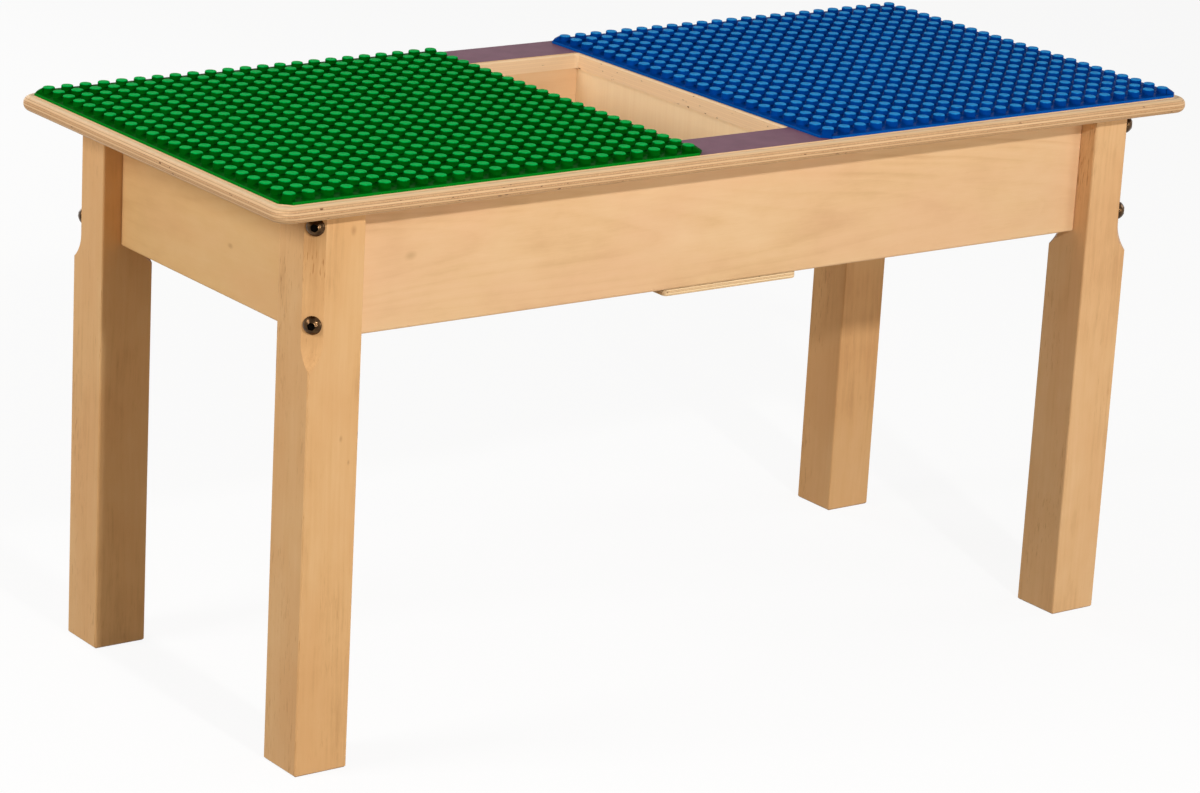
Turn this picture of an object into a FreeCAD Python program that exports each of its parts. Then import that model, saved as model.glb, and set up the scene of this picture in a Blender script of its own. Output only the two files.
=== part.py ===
import FreeCAD, Part
import math
import os

# Play table for building blocks, in millimetres.
# The floor is at z = 0 and the table is centred on the z axis. x runs along the table, -y is the front.

V = FreeCAD.Vector

# Block plates: square sheets of studs, one green and one blue
stud_pitch = 16.0
studs_per_side = 23
stud_diameter = 9.6
stud_height = 4.6
stud_top_round = 0.9
stud_bore_diameter = 6.8
stud_roof = 1.4
plate_base = 2.0
plate_rim = 3.0
plate_corner_clip = 8.0
plate_edge_bevel = 0.6
corner_ramp_width = 7.6
corner_ramp_crest = 2.6
corner_ramp_foot_height = 0.8
corner_ramp_foot_inset = 0.7

# Table top: plywood board with a round edge, and the coloured laminate on it
plate_gap = 113.0
top_border = 7.0
top_thickness = 12.0
top_edge_flat = 0.6
top_corner_radius = 14.0
top_height = 443.0
laminate_thickness = 0.8

# Storage well in the middle of the top
well_lip = 1.0
well_hole_inset = 1.0
well_hole_corner_radius = 3.0
well_hole_round = 1.5
well_wall_thickness = 9.0
well_housing_depth = 3.0
well_housing_clearance = 0.1
well_bottom_thickness = 6.5
well_bottom_lap = 12.0
well_bottom_side_inset = 1.0
well_bottom_corner_radius = 4.0
well_bottom_edge_round = 1.0

# Legs
leg_size = 45.0
leg_edge_round = 1.5
leg_foot_bevel = 1.2
leg_inset_end = 40.5
leg_inset_side = 20.5
leg_outer_cut = 11.5
leg_runout_radius = 30.0
leg_runout_below_apron = 18.0

# Aprons, the four rails under the top
apron_height = 100.0
apron_thickness = 16.0
apron_recess = 16.0
apron_edge_round = 2.0

# Corner blocks behind the legs
block_reach = 46.0
block_end_width = 8.0
block_lift = 2.0

# Leg bolts with their washers and nuts
bolt_diameter = 8.0
bolt_hole_clearance = 0.2
bolt_top_drop = 11.0
bolt_spacing = 73.0
bolt_head_diameter = 14.0
bolt_head_height = 4.6
bolt_head_rim = 0.8
bolt_socket_width = 5.0
bolt_socket_depth = 2.6
bolt_end_spare = 2.0
washer_diameter = 16.0
washer_thickness = 1.6
nut_width = 13.0
nut_thickness = 6.5
nut_thread_clearance = 0.05
nut_corner_bevel = 0.8

# Wood screws
screw_diameter = 4.0
screw_head_diameter = 7.6
screw_head_height = 2.0
screw_tip_length = 4.0
screw_tip_diameter = 0.8
screw_drive_width = 2.6
screw_drive_depth = 1.0
screw_clearance = 0.05
screw_access_clearance = 0.8
block_screw_grip = 16.0
block_screw_bite = 12.0
block_screw_along = 26.0
block_screw_spacing = 23.0
top_screw_grip = 24.0
top_screw_bite = 9.0
top_screw_along = 39.0
top_screw_from_apron = 7.0
well_screw_bite = 14.0
well_screw_from_face = 6.0
well_screw_half_spread_x = 35.0
well_screw_half_spread_y = 70.0

# How far a cutter runs past what it cuts
overrun = 1.0

# Sizes worked out from those above
stud_radius = stud_diameter / 2
plate_side = studs_per_side * stud_pitch + 2 * plate_rim
stud_from_edge = plate_rim + stud_pitch / 2
plate_centre_x = (plate_gap + plate_side) / 2
surface_length = plate_gap + 2 * plate_side
top_length = surface_length + 2 * top_border
top_depth = plate_side + 2 * top_border
top_edge_radius = (top_thickness - top_edge_flat) / 2
top_underside = top_height - top_thickness
laminate_top = top_height + laminate_thickness
leg_corner_x = top_length / 2 - leg_inset_end
leg_corner_y = top_depth / 2 - leg_inset_side
apron_inner = apron_recess + apron_thickness
apron_bottom = top_underside - apron_height
leg_inner_cut = leg_size - apron_inner
leg_runout_tip = apron_bottom - leg_runout_below_apron
well_hole_length = plate_gap - 2 * well_hole_inset
well_hole_depth = 2 * (leg_corner_y - apron_inner - well_lip)
well_wall_inner = well_hole_length / 2 + well_lip
well_wall_centre = well_wall_inner + well_wall_thickness / 2
block_face_sum = 2 * apron_inner + block_reach + block_end_width
block_bottom = apron_bottom + block_lift
bolt_grip = (block_face_sum - leg_outer_cut) / math.sqrt(2)
bolt_heights = (top_underside - bolt_top_drop, top_underside - bolt_top_drop - bolt_spacing)
bolt_seat = leg_outer_cut / 2
block_screw_middle = top_underside - bolt_top_drop - bolt_spacing / 2
block_screw_heights = [block_screw_middle + side * block_screw_spacing / 2 for side in (-1, 1)]

# Each corner of the table: name, sign of x, sign of y, and the turn from the front left corner
CORNERS = (
    ("front_left", -1, -1, 0),
    ("front_right", 1, -1, 90),
    ("back_right", 1, 1, 180),
    ("back_left", -1, 1, 270),
)


def block(length, depth, height, bottom):
    """A box centred on the z axis, standing on the height called bottom."""
    return Part.makeBox(length, depth, height, V(-length / 2, -depth / 2, bottom))


def edges_where(shape, test):
    """The edges of a shape whose bounding box passes a test."""
    return [edge for edge in shape.Edges if test(edge.BoundBox)]


def is_upright(box):
    """True for the box of an edge that runs along z."""
    return box.XLength + box.YLength < box.ZLength


def rounded_board(length, depth, thickness, corner_radius, bottom):
    """A flat board with rounded corners, centred on the z axis."""
    board = block(length, depth, thickness, bottom)
    return board.makeFillet(corner_radius, edges_where(board, is_upright))


def clipped_sheet(length, depth, thickness, bottom):
    """A flat sheet with the corners clipped as on a block plate, centred on the z axis."""
    sheet = block(length, depth, thickness, bottom)
    return sheet.makeChamfer(plate_corner_clip, edges_where(sheet, is_upright))


def to_corner(shape, corner):
    """Move a piece modelled at its own origin, with the inside of the table at +x and +y, to a corner."""
    _, side_x, side_y, turn = corner
    placed = shape.copy()
    placed.rotate(V(0, 0, 0), V(0, 0, 1), turn)
    placed.translate(V(side_x * leg_corner_x, side_y * leg_corner_y, 0))
    return placed


def aimed(shape, origin, direction):
    """Turn a piece from the z axis to a direction and move it to its origin."""
    placed = shape.copy()
    placed.Placement = FreeCAD.Placement(origin, FreeCAD.Rotation(V(0, 0, 1), direction))
    return placed


def hexagon(width, height, bottom):
    """A hexagonal prism on the z axis, with its width across the flats."""
    radius = width / math.sqrt(3)
    points = [V(radius * math.cos(math.radians(60 * i)), radius * math.sin(math.radians(60 * i)), bottom)
              for i in range(7)]
    return Part.Face(Part.makePolygon(points)).extrude(V(0, 0, height))


# Block plates

def stud():
    """One round stud with a soft top edge, standing on the sheet."""
    height = plate_base + stud_height
    body = Part.makeCylinder(stud_radius, height)
    rim = edges_where(body, lambda box: box.ZMin > height / 2)
    return body.makeFillet(stud_top_round, rim)


def corner_ramp():
    """The ramp that runs from a corner stud down to the clipped corner, along +x."""
    reach = stud_from_edge * math.sqrt(2) - plate_corner_clip / math.sqrt(2) - corner_ramp_foot_inset
    top = plate_base + stud_height
    outline = [V(0, 0, 0), V(0, 0, top), V(corner_ramp_crest, 0, top),
               V(reach, 0, plate_base + corner_ramp_foot_height), V(reach, 0, 0), V(0, 0, 0)]
    ramp = Part.Face(Part.makePolygon(outline)).extrude(V(0, corner_ramp_width, 0))
    ramp.translate(V(0, -corner_ramp_width / 2, 0))
    return ramp


def block_plate():
    """A square sheet with clipped corners and a grid of hollow studs, standing on z = 0."""
    sheet = clipped_sheet(plate_side, plate_side, plate_base, 0)
    sheet = sheet.makeChamfer(plate_edge_bevel, edges_where(sheet, lambda box: box.ZMin > plate_base / 2))
    first = -(studs_per_side - 1) * stud_pitch / 2
    places = [V(first + i * stud_pitch, first + j * stud_pitch, 0)
              for i in range(studs_per_side) for j in range(studs_per_side)]
    one_stud = stud()
    raised = [one_stud.translated(place) for place in places]
    for side_x, side_y, angle in ((-1, -1, 225), (1, -1, 315), (1, 1, 45), (-1, 1, 135)):
        ramp = corner_ramp()
        ramp.rotate(V(0, 0, 0), V(0, 0, 1), angle)
        raised.append(ramp.translated(V(-side_x * first, -side_y * first, 0)))
    plate = sheet.multiFuse(raised)
    bore = Part.makeCylinder(stud_bore_diameter / 2, plate_base + stud_height - stud_roof + overrun)
    bores = [bore.translated(place - V(0, 0, overrun)) for place in places]
    return plate.cut(Part.makeCompound(bores)).removeSplitter()


# Screws and bolts

def screw_profile(length, grow):
    """Half outline of a countersunk screw, head up at z = 0, thicker by grow all over."""
    head = screw_head_diameter / 2 + grow
    shank = screw_diameter / 2 + grow
    tip = screw_tip_diameter / 2 + grow
    end = -length - grow
    return [V(0, 0, 0), V(head, 0, 0), V(shank, 0, -screw_head_height),
            V(shank, 0, screw_tip_length - length), V(tip, 0, end), V(0, 0, end), V(0, 0, 0)]


def turned(points):
    """Revolve a closed half outline about the z axis."""
    return Part.Face(Part.makePolygon(points)).revolve(V(0, 0, 0), V(0, 0, 1), 360)


def wood_screw(length):
    """A countersunk wood screw with a square drive, its head at z = 0 and its tip down."""
    body = turned(screw_profile(length, 0))
    drive = block(screw_drive_width, screw_drive_width, screw_drive_depth + overrun, -screw_drive_depth)
    return body.cut(drive)


def screw_hole(length, access):
    """The room for a wood screw, and a way in above its head for the driver."""
    hole = turned(screw_profile(length, screw_clearance))
    way_in = Part.makeCylinder(screw_head_diameter / 2 + screw_access_clearance, access)
    return hole.fuse(way_in)


def leg_bolt():
    """A dome-head bolt with a hexagon socket, seated at z = 0, its shank along +z."""
    head_radius = bolt_head_diameter / 2
    dome = bolt_head_height - bolt_head_rim
    ball = (head_radius ** 2 + dome ** 2) / (2 * dome)
    centre = -bolt_head_height + ball
    middle = math.asin(head_radius / ball) / 2
    crown = V(0, 0, -bolt_head_height)
    shoulder = V(head_radius, 0, -bolt_head_rim)
    between = V(ball * math.sin(middle), 0, centre - ball * math.cos(middle))
    seat = V(head_radius, 0, 0)
    outline = Part.Wire([Part.Arc(crown, between, shoulder).toShape(),
                         Part.makeLine(shoulder, seat),
                         Part.makeLine(seat, V(0, 0, 0)),
                         Part.makeLine(V(0, 0, 0), crown)])
    head = Part.Face(outline).revolve(V(0, 0, 0), V(0, 0, 1), 360)
    head = head.cut(hexagon(bolt_socket_width, bolt_socket_depth + overrun, -bolt_head_height - overrun))
    length = bolt_grip + washer_thickness + nut_thickness + bolt_end_spare
    shank = Part.makeCylinder(bolt_diameter / 2, length)
    return head.fuse(shank).removeSplitter()


def washer():
    """A flat washer lying on z = 0."""
    disc = Part.makeCylinder(washer_diameter / 2, washer_thickness)
    return disc.cut(Part.makeCylinder(bolt_diameter / 2 + bolt_hole_clearance, washer_thickness))


def nut():
    """A hexagon nut lying on z = 0, with its corners bevelled."""
    body = hexagon(nut_width, nut_thickness, 0)
    corner = nut_width / math.sqrt(3)
    cap = [V(0, 0, 0), V(corner - nut_corner_bevel, 0, 0), V(corner, 0, nut_corner_bevel),
           V(corner, 0, nut_thickness - nut_corner_bevel), V(corner - nut_corner_bevel, 0, nut_thickness),
           V(0, 0, nut_thickness), V(0, 0, 0)]
    bore = Part.makeCylinder(bolt_diameter / 2 + nut_thread_clearance, nut_thickness)
    return body.common(turned(cap)).cut(bore)


def bolt_places(distance):
    """Where something lies on the two bolts of a corner, a distance in from the leg's outer cut."""
    along = bolt_seat + distance / math.sqrt(2)
    return [V(along, along, height) for height in bolt_heights]


def on_bolts(shape, distance):
    """Copies of a piece on the two bolts of the corner at the origin."""
    return [aimed(shape, place, V(1, 1, 0)) for place in bolt_places(distance)]


def bolt_holes():
    """The room for the two bolts of the corner at the origin, right through leg and block."""
    radius = bolt_diameter / 2 + bolt_hole_clearance
    bore = Part.makeCylinder(radius, bolt_grip + 2 * overrun)
    return on_bolts(bore, -overrun)


# Legs, corner blocks and their screws, all at a corner at the origin

def corner_cutter(depth):
    """Cuts a flat on the edge x = y = 0 of a leg, with a curved run-out at its lower end."""
    run = math.sqrt(2 * leg_runout_radius * depth - depth ** 2)
    flat_end = leg_runout_tip + run
    half_angle = math.acos((leg_runout_radius - depth) / leg_runout_radius) / 2
    middle = V(depth - leg_runout_radius * (1 - math.cos(half_angle)), 0,
               flat_end - leg_runout_radius * math.sin(half_angle))
    start = V(depth, 0, flat_end)
    tip = V(0, 0, leg_runout_tip)
    outer_low = V(-overrun, 0, leg_runout_tip)
    outer_high = V(-overrun, 0, top_underside + overrun)
    high = V(depth, 0, top_underside + overrun)
    outline = Part.Wire([Part.Arc(start, middle, tip).toShape(),
                         Part.makeLine(tip, outer_low),
                         Part.makeLine(outer_low, outer_high),
                         Part.makeLine(outer_high, high),
                         Part.makeLine(high, start)])
    cutter = Part.Face(outline).extrude(V(0, 2 * leg_size, 0))
    cutter.translate(V(0, -leg_size, 0))
    cutter.rotate(V(0, 0, 0), V(0, 0, 1), 45)
    return cutter


def leg():
    """A square leg with its outer corner at the origin and flats on its outer and inner corners."""
    post = Part.makeBox(leg_size, leg_size, top_underside)
    post = post.makeFillet(leg_edge_round, edges_where(post, is_upright))
    post = post.makeChamfer(leg_foot_bevel, edges_where(post, lambda box: box.ZMax < leg_foot_bevel))
    outer = corner_cutter(leg_outer_cut / math.sqrt(2))
    inner = corner_cutter(leg_inner_cut / math.sqrt(2))
    inner.rotate(V(0, 0, 0), V(0, 0, 1), 180)
    inner.translate(V(leg_size, leg_size, 0))
    return post.cut([outer, inner] + bolt_holes())


def block_screw_places():
    """Head and direction of the screws from a corner block into its two aprons."""
    along = apron_inner + block_screw_along
    head = apron_inner + block_screw_grip
    places = []
    for height in block_screw_heights:
        places.append((V(along, head, height), V(0, 1, 0)))
        places.append((V(head, along, height), V(1, 0, 0)))
    return places


def top_screw_places():
    """Head and direction of the screws from a corner block up into the top."""
    along = apron_inner + top_screw_along
    beside = apron_inner + top_screw_from_apron
    height = top_underside - top_screw_grip
    return [(V(along, beside, height), V(0, 0, -1)), (V(beside, along, height), V(0, 0, -1))]


def corner_screws(places, length):
    """Wood screws at the given places of a corner."""
    return [aimed(wood_screw(length), head, outward) for head, outward in places]


def corner_screw_holes(places, length, access):
    """The room for the wood screws at the given places of a corner."""
    return [aimed(screw_hole(length, access), head, outward) for head, outward in places]


block_screw_length = block_screw_grip + block_screw_bite
top_screw_length = top_screw_grip + top_screw_bite
block_screw_cutters = corner_screw_holes(block_screw_places(), block_screw_length, block_reach)
top_screw_cutters = corner_screw_holes(top_screw_places(), top_screw_length, apron_height)


def corner_block():
    """The block that joins two aprons behind a leg and takes its bolts."""
    near = apron_inner
    far = apron_inner + block_reach
    shoulder = apron_inner + block_end_width
    points = [V(leg_size, near, block_bottom), V(far, near, block_bottom), V(far, shoulder, block_bottom),
              V(shoulder, far, block_bottom), V(near, far, block_bottom), V(near, leg_size, block_bottom),
              V(leg_size, near, block_bottom)]
    body = Part.Face(Part.makePolygon(points)).extrude(V(0, 0, top_underside - block_bottom))
    return body.cut(bolt_holes() + block_screw_cutters + top_screw_cutters)


def at_all_corners(shapes):
    """Copies of pieces of one corner at all four corners, as one group."""
    return Part.makeCompound([to_corner(shape, corner) for corner in CORNERS for shape in shapes])


# Storage well

well_screw_length = well_bottom_thickness + well_screw_bite
well_apron_screw_y = leg_corner_y - apron_inner + well_screw_from_face
well_screw_points = (
    [V(x, y, apron_bottom - well_bottom_thickness)
     for x in (-well_screw_half_spread_x, well_screw_half_spread_x)
     for y in (-well_apron_screw_y, well_apron_screw_y)]
    + [V(x, y, apron_bottom - well_bottom_thickness)
       for x in (-well_wall_centre, well_wall_centre)
       for y in (-well_screw_half_spread_y, well_screw_half_spread_y)]
)
well_screws = [aimed(wood_screw(well_screw_length), point, V(0, 0, -1)) for point in well_screw_points]
well_screw_cutters = [aimed(screw_hole(well_screw_length, overrun), point, V(0, 0, -1))
                      for point in well_screw_points]


def well_wall(side):
    """A side wall of the well, its ends let into the front and back aprons."""
    length = 2 * (leg_corner_y - apron_inner + well_housing_depth - well_housing_clearance)
    wall = block(well_wall_thickness, length, apron_height, apron_bottom)
    wall.translate(V(side * well_wall_centre, 0, 0))
    return wall.cut(well_screw_cutters)


def well_bottom():
    """The well's bottom board, screwed up against the aprons and the well's walls."""
    length = 2 * (well_wall_inner + well_wall_thickness - well_bottom_side_inset)
    depth = 2 * (leg_corner_y - apron_inner + well_bottom_lap)
    low = apron_bottom - well_bottom_thickness
    board = rounded_board(length, depth, well_bottom_thickness, well_bottom_corner_radius, low)
    lower_edges = edges_where(board, lambda box: box.ZMax < low + well_bottom_thickness / 2)
    return board.makeFillet(well_bottom_edge_round, lower_edges).cut(well_screw_cutters)


# Aprons

def apron(length, across, side):
    """One apron, its edges eased but for those at the top, facing along x or y to one side."""
    board = block(length, apron_thickness, apron_height, apron_bottom)
    middle = apron_bottom + apron_height / 2
    board = board.makeFillet(apron_edge_round, edges_where(board, lambda box: box.ZMin < middle))
    if across == "y":
        board.translate(V(0, side * (leg_corner_y - apron_recess - apron_thickness / 2), 0))
    else:
        board.rotate(V(0, 0, 0), V(0, 0, 1), 90)
        board.translate(V(side * (leg_corner_x - apron_recess - apron_thickness / 2), 0, 0))
    return board.cut(at_all_corners(block_screw_cutters))


def long_apron(side):
    """The front or back apron, with housings for the well's walls."""
    board = apron(2 * (leg_corner_x - leg_size), "y", side)
    width = well_wall_thickness + 2 * well_housing_clearance
    reach = 2 * (leg_corner_y - apron_inner + well_housing_depth)
    housing = block(width, reach, apron_height + 2 * overrun, apron_bottom - overrun)
    housings = [housing.translated(V(x, 0, 0)) for x in (-well_wall_centre, well_wall_centre)]
    return board.cut(housings + well_screw_cutters)


def end_apron(side):
    """The left or right apron."""
    return apron(2 * (leg_corner_y - leg_size), "x", side)


# Top and laminate

def table_top():
    """The plywood top, rounded all round its edge, with the well's hole in it."""
    board = rounded_board(top_length, top_depth, top_thickness, top_corner_radius, top_underside)
    rims = edges_where(board, lambda box: not is_upright(box))
    board = board.makeFillet(top_edge_radius, rims)
    hole = rounded_board(well_hole_length, well_hole_depth, top_thickness + 2 * overrun,
                         well_hole_corner_radius, top_underside - overrun)
    board = board.cut(hole)
    upper_edges = edges_where(board, lambda box: box.ZMin > top_height - top_edge_flat / 2)
    lip = [edge for edge in upper_edges if max(edge.BoundBox.XMax, -edge.BoundBox.XMin) < plate_gap / 2]
    board = board.makeFillet(well_hole_round, lip)
    return board.cut(at_all_corners(top_screw_cutters))


def laminate():
    """The coloured sheet glued on the top, open over the well, with the plates' clipped corners."""
    sheet = clipped_sheet(surface_length, plate_side, laminate_thickness, top_height)
    hole = rounded_board(well_hole_length + 2 * well_hole_round, well_hole_depth + 2 * well_hole_round,
                         laminate_thickness + 2 * overrun, well_hole_corner_radius + well_hole_round,
                         top_height - overrun)
    return sheet.cut(hole)


# All pieces, by name

plate = block_plate()
nodes = {
    "table_top": table_top(),
    "top_laminate": laminate(),
    "green_block_plate": plate.translated(V(-plate_centre_x, 0, laminate_top)),
    "blue_block_plate": plate.translated(V(plate_centre_x, 0, laminate_top)),
    "front_apron": long_apron(-1),
    "back_apron": long_apron(1),
    "left_apron": end_apron(-1),
    "right_apron": end_apron(1),
    "well_left_wall": well_wall(-1),
    "well_right_wall": well_wall(1),
    "well_bottom_board": well_bottom(),
    "well_screws": Part.makeCompound(well_screws),
    "leg_bolts": at_all_corners(on_bolts(leg_bolt(), 0)),
    "bolt_washers": at_all_corners(on_bolts(washer(), bolt_grip)),
    "bolt_nuts": at_all_corners(on_bolts(nut(), bolt_grip + washer_thickness)),
    "corner_block_screws": at_all_corners(corner_screws(block_screw_places(), block_screw_length)),
    "top_screws": at_all_corners(corner_screws(top_screw_places(), top_screw_length)),
}
for corner in CORNERS:
    nodes["leg_" + corner[0]] = to_corner(leg(), corner)
    nodes["corner_block_" + corner[0]] = to_corner(corner_block(), corner)

os.makedirs("parts", exist_ok=True)
for name, shape in nodes.items():
    shape.exportStep("parts/" + name + ".step")
    print(name, "solids", len(shape.Solids), "valid", shape.isValid(), "cm3", round(shape.Volume / 1000, 2))
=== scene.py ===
import logging
import math
import random
from dataclasses import dataclass
from enum import Enum
from typing import Sequence

import bpy
import numpy as np
from mathutils import Matrix, Vector


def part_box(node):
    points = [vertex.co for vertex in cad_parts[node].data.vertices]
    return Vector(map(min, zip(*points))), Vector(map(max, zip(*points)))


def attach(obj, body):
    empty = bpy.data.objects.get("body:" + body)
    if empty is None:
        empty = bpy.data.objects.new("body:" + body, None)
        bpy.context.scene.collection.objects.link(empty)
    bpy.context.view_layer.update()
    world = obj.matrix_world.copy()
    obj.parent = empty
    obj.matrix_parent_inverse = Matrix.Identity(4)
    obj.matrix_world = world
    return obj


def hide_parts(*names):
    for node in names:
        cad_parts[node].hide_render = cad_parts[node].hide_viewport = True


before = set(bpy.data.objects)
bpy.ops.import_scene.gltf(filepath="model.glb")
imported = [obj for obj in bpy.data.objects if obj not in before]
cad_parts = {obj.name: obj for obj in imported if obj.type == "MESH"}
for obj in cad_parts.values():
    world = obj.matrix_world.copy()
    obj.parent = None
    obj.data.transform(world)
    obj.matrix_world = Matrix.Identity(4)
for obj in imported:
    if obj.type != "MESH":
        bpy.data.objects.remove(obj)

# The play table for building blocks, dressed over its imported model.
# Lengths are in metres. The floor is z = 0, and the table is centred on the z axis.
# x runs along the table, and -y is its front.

LOG = logging.getLogger("play_table")
MM = 0.001
BODY = "root"
Colour = tuple[float, float, float, float]
Stops = Sequence[tuple[float, Colour]]
Pair = tuple[float, float]
Triple = tuple[float, float, float]
Span = tuple[float, ...]
Socket = bpy.types.NodeSocket
WHITE: Colour = (1.0, 1.0, 1.0, 1.0)
FULL_LEVEL = 255
SCREEN_KNEE = 0.04045
SCREEN_SLOPE = 12.92
SCREEN_LIFT = 0.055
SCREEN_POWER = 2.4
SEED_SPREAD: Triple = (1.0, 1.7, 2.3)
CORNER_SIGNS = ((1, 1), (-1, 1), (-1, -1), (1, -1))
HALF = 0.5


def srgb(red: int, green: int, blue: int) -> Colour:
    """Turn a colour as it shows on a screen into the one that a shader takes.

    Args:
        red: amount of red, 0 to 255.
        green: amount of green, 0 to 255.
        blue: amount of blue, 0 to 255.

    Returns:
        The linear colour, opaque.
    """
    linear = []
    for level in (red, green, blue):
        part = level / FULL_LEVEL
        lifted = (part + SCREEN_LIFT) / (1 + SCREEN_LIFT)
        linear.append(part / SCREEN_SLOPE if part <= SCREEN_KNEE else lifted ** SCREEN_POWER)
    return (linear[0], linear[1], linear[2], 1.0)


def grey(level: float) -> Colour:
    """A neutral linear colour of one level."""
    return (level, level, level, 1.0)


class Axis(Enum):
    """A direction of the frame, by its place in a vector."""

    X = 0
    Y = 1
    Z = 2

    def unit(self) -> Triple:
        """The unit vector of this axis."""
        return tuple(float(self.value == place) for place in range(3))


class Corner(Enum):
    """A corner of the table, by the end of its pieces' names."""

    FRONT_LEFT = "front_left"
    FRONT_RIGHT = "front_right"
    BACK_RIGHT = "back_right"
    BACK_LEFT = "back_left"


class Sum(Enum):
    """What a node works out from its numbers or vectors."""

    ABSOLUTE = "ABSOLUTE"
    ADD = "ADD"
    DIVIDE = "DIVIDE"
    DOT = "DOT_PRODUCT"
    FLOOR = "FLOOR"
    FRACTION = "FRACT"
    LENGTH = "LENGTH"
    LESS = "LESS_THAN"
    MAXIMUM = "MAXIMUM"
    MINIMUM = "MINIMUM"
    REMAINDER = "MODULO"
    TIMES = "MULTIPLY"
    TIMES_PLUS = "MULTIPLY_ADD"
    POWER = "POWER"
    MINUS = "SUBTRACT"


@dataclass(frozen=True)
class Pattern:
    """A layer of noise: its rates per metre in three directions, its place in the noise and its detail."""

    rates: Triple
    offset: float = 0.0
    detail: float = 2.0


def even(rate: float, offset: float = 0.0, detail: float = 2.0) -> Pattern:
    """A layer of noise with one rate in all directions."""
    return Pattern((rate, rate, rate), offset, detail)


class Graph:
    """A tree of shader nodes, with short ways to add what the finishes and the studio use."""

    COLOUR_MIX_INPUTS = (0, 6, 7)
    COLOUR_MIX_OUTPUT = 2
    NUMBER_MIX_INPUTS = (0, 2, 3)

    def __init__(self, tree: bpy.types.NodeTree) -> None:
        """Take over a tree of nodes.

        Args:
            tree: the node tree of a material or of the world.
        """
        self.nodes = tree.nodes
        self.links = tree.links

    def add(self, kind: str, **settings: object) -> bpy.types.Node:
        """Add a node of a kind and set its properties.

        Args:
            kind: the node's type name.
            settings: the properties to set on it.

        Returns:
            The new node.
        """
        node = self.nodes.new(kind)
        for key, value in settings.items():
            setattr(node, key, value)
        return node

    def feed(self, socket: Socket, value: object) -> None:
        """Link an input to another node's output, or set it to a plain value.

        Args:
            socket: the input.
            value: the other node's output, or the value.
        """
        if isinstance(value, Socket):
            self.links.new(value, socket)
        else:
            socket.default_value = value

    def math(self, operation: Sum, *values: object) -> Socket:
        """Work something out from numbers.

        Args:
            operation: what is worked out.
            values: the numbers, in the operation's order.

        Returns:
            The result.
        """
        node = self.add("ShaderNodeMath", operation=operation.value)
        for socket, value in zip(node.inputs, values):
            self.feed(socket, value)
        return node.outputs[0]

    def vector(self, operation: Sum, *values: object) -> Socket:
        """Work something out from vectors.

        Args:
            operation: what is worked out.
            values: the vectors, in the operation's order.

        Returns:
            The result, a number for a length or a dot product and a vector for all else.
        """
        node = self.add("ShaderNodeVectorMath", operation=operation.value)
        for socket, value in zip(node.inputs, values):
            self.feed(socket, value)
        return node.outputs["Value" if operation in (Sum.LENGTH, Sum.DOT) else "Vector"]

    def place(self) -> Socket:
        """Where a point lies in the frame, in metres."""
        return self.add("ShaderNodeTexCoord").outputs["Object"]

    def normal(self) -> Socket:
        """Which way the surface faces in the frame."""
        return self.add("ShaderNodeTexCoord").outputs["Normal"]

    def part(self, vector: Socket, axis: Axis) -> Socket:
        """Take one number out of a vector.

        Args:
            vector: the vector.
            axis: which of its numbers is taken.

        Returns:
            The number.
        """
        node = self.add("ShaderNodeSeparateXYZ")
        self.feed(node.inputs[0], vector)
        return node.outputs[axis.value]

    def joined(self, x: object, y: object, z: object) -> Socket:
        """Make a vector of three numbers.

        Args:
            x: its first number.
            y: its second number.
            z: its third number.

        Returns:
            The vector.
        """
        node = self.add("ShaderNodeCombineXYZ")
        for socket, value in zip(node.inputs, (x, y, z)):
            self.feed(socket, value)
        return node.outputs[0]

    def stretched(self, vector: object, rates: Triple, start: float) -> Socket:
        """A vector at other rates in its three directions, moved to a start of its own in the noise."""
        moved = tuple(start * spread for spread in SEED_SPREAD)
        return self.vector(Sum.TIMES_PLUS, vector, rates, moved)

    def noise(self, vector: object, detail: float) -> bpy.types.Node:
        """Add a noise texture.

        Args:
            vector: a place that is already stretched to the noise's own size.
            detail: how many finer layers the noise has.

        Returns:
            The noise's node.
        """
        node = self.add("ShaderNodeTexNoise")
        self.feed(node.inputs["Vector"], vector)
        self.feed(node.inputs["Scale"], 1.0)
        self.feed(node.inputs["Detail"], detail)
        return node

    def layer(self, vector: object, pattern: Pattern, seed: float = 0.0) -> bpy.types.Node:
        """The node of one layer of noise at a place, counted from a seed."""
        return self.noise(self.stretched(vector, pattern.rates, seed + pattern.offset), pattern.detail)

    def grain(self, vector: object, pattern: Pattern, seed: float = 0.0) -> Socket:
        """The level of one layer of noise at a place, 0 to 1, counted from a seed."""
        return self.layer(vector, pattern, seed).outputs[0]

    def centred(self, value: object) -> Socket:
        """A number from 0 to 1 moved to lie evenly on both sides of 0."""
        return self.math(Sum.MINUS, value, HALF)

    def remap(self, value: object, low: float, high: float, new_low: float = 0.0,
              new_high: float = 1.0, smooth: bool = False) -> Socket:
        """Take a number from one range to another and hold it within that.

        Args:
            value: the number.
            low: where its range starts.
            high: where its range ends.
            new_low: what low becomes.
            new_high: what high becomes.
            smooth: ease in and out of the new range.

        Returns:
            The number in its new range.
        """
        node = self.add("ShaderNodeMapRange", clamp=True)
        node.interpolation_type = "SMOOTHSTEP" if smooth else "LINEAR"
        for socket, number in zip(node.inputs, (value, low, high, new_low, new_high)):
            self.feed(socket, number)
        return node.outputs[0]

    def ramp(self, value: object, stops: Stops) -> Socket:
        """Pick a colour by a number.

        Args:
            value: the number, 0 to 1.
            stops: the numbers at which colours are given, with these colours.

        Returns:
            The colour.
        """
        node = self.add("ShaderNodeValToRGB")
        elements = node.color_ramp.elements
        while len(elements) < len(stops):
            elements.new(HALF)
        for element, (position, colour) in zip(elements, stops):
            element.position = position
            element.color = colour
        self.feed(node.inputs[0], value)
        return node.outputs[0]

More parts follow.
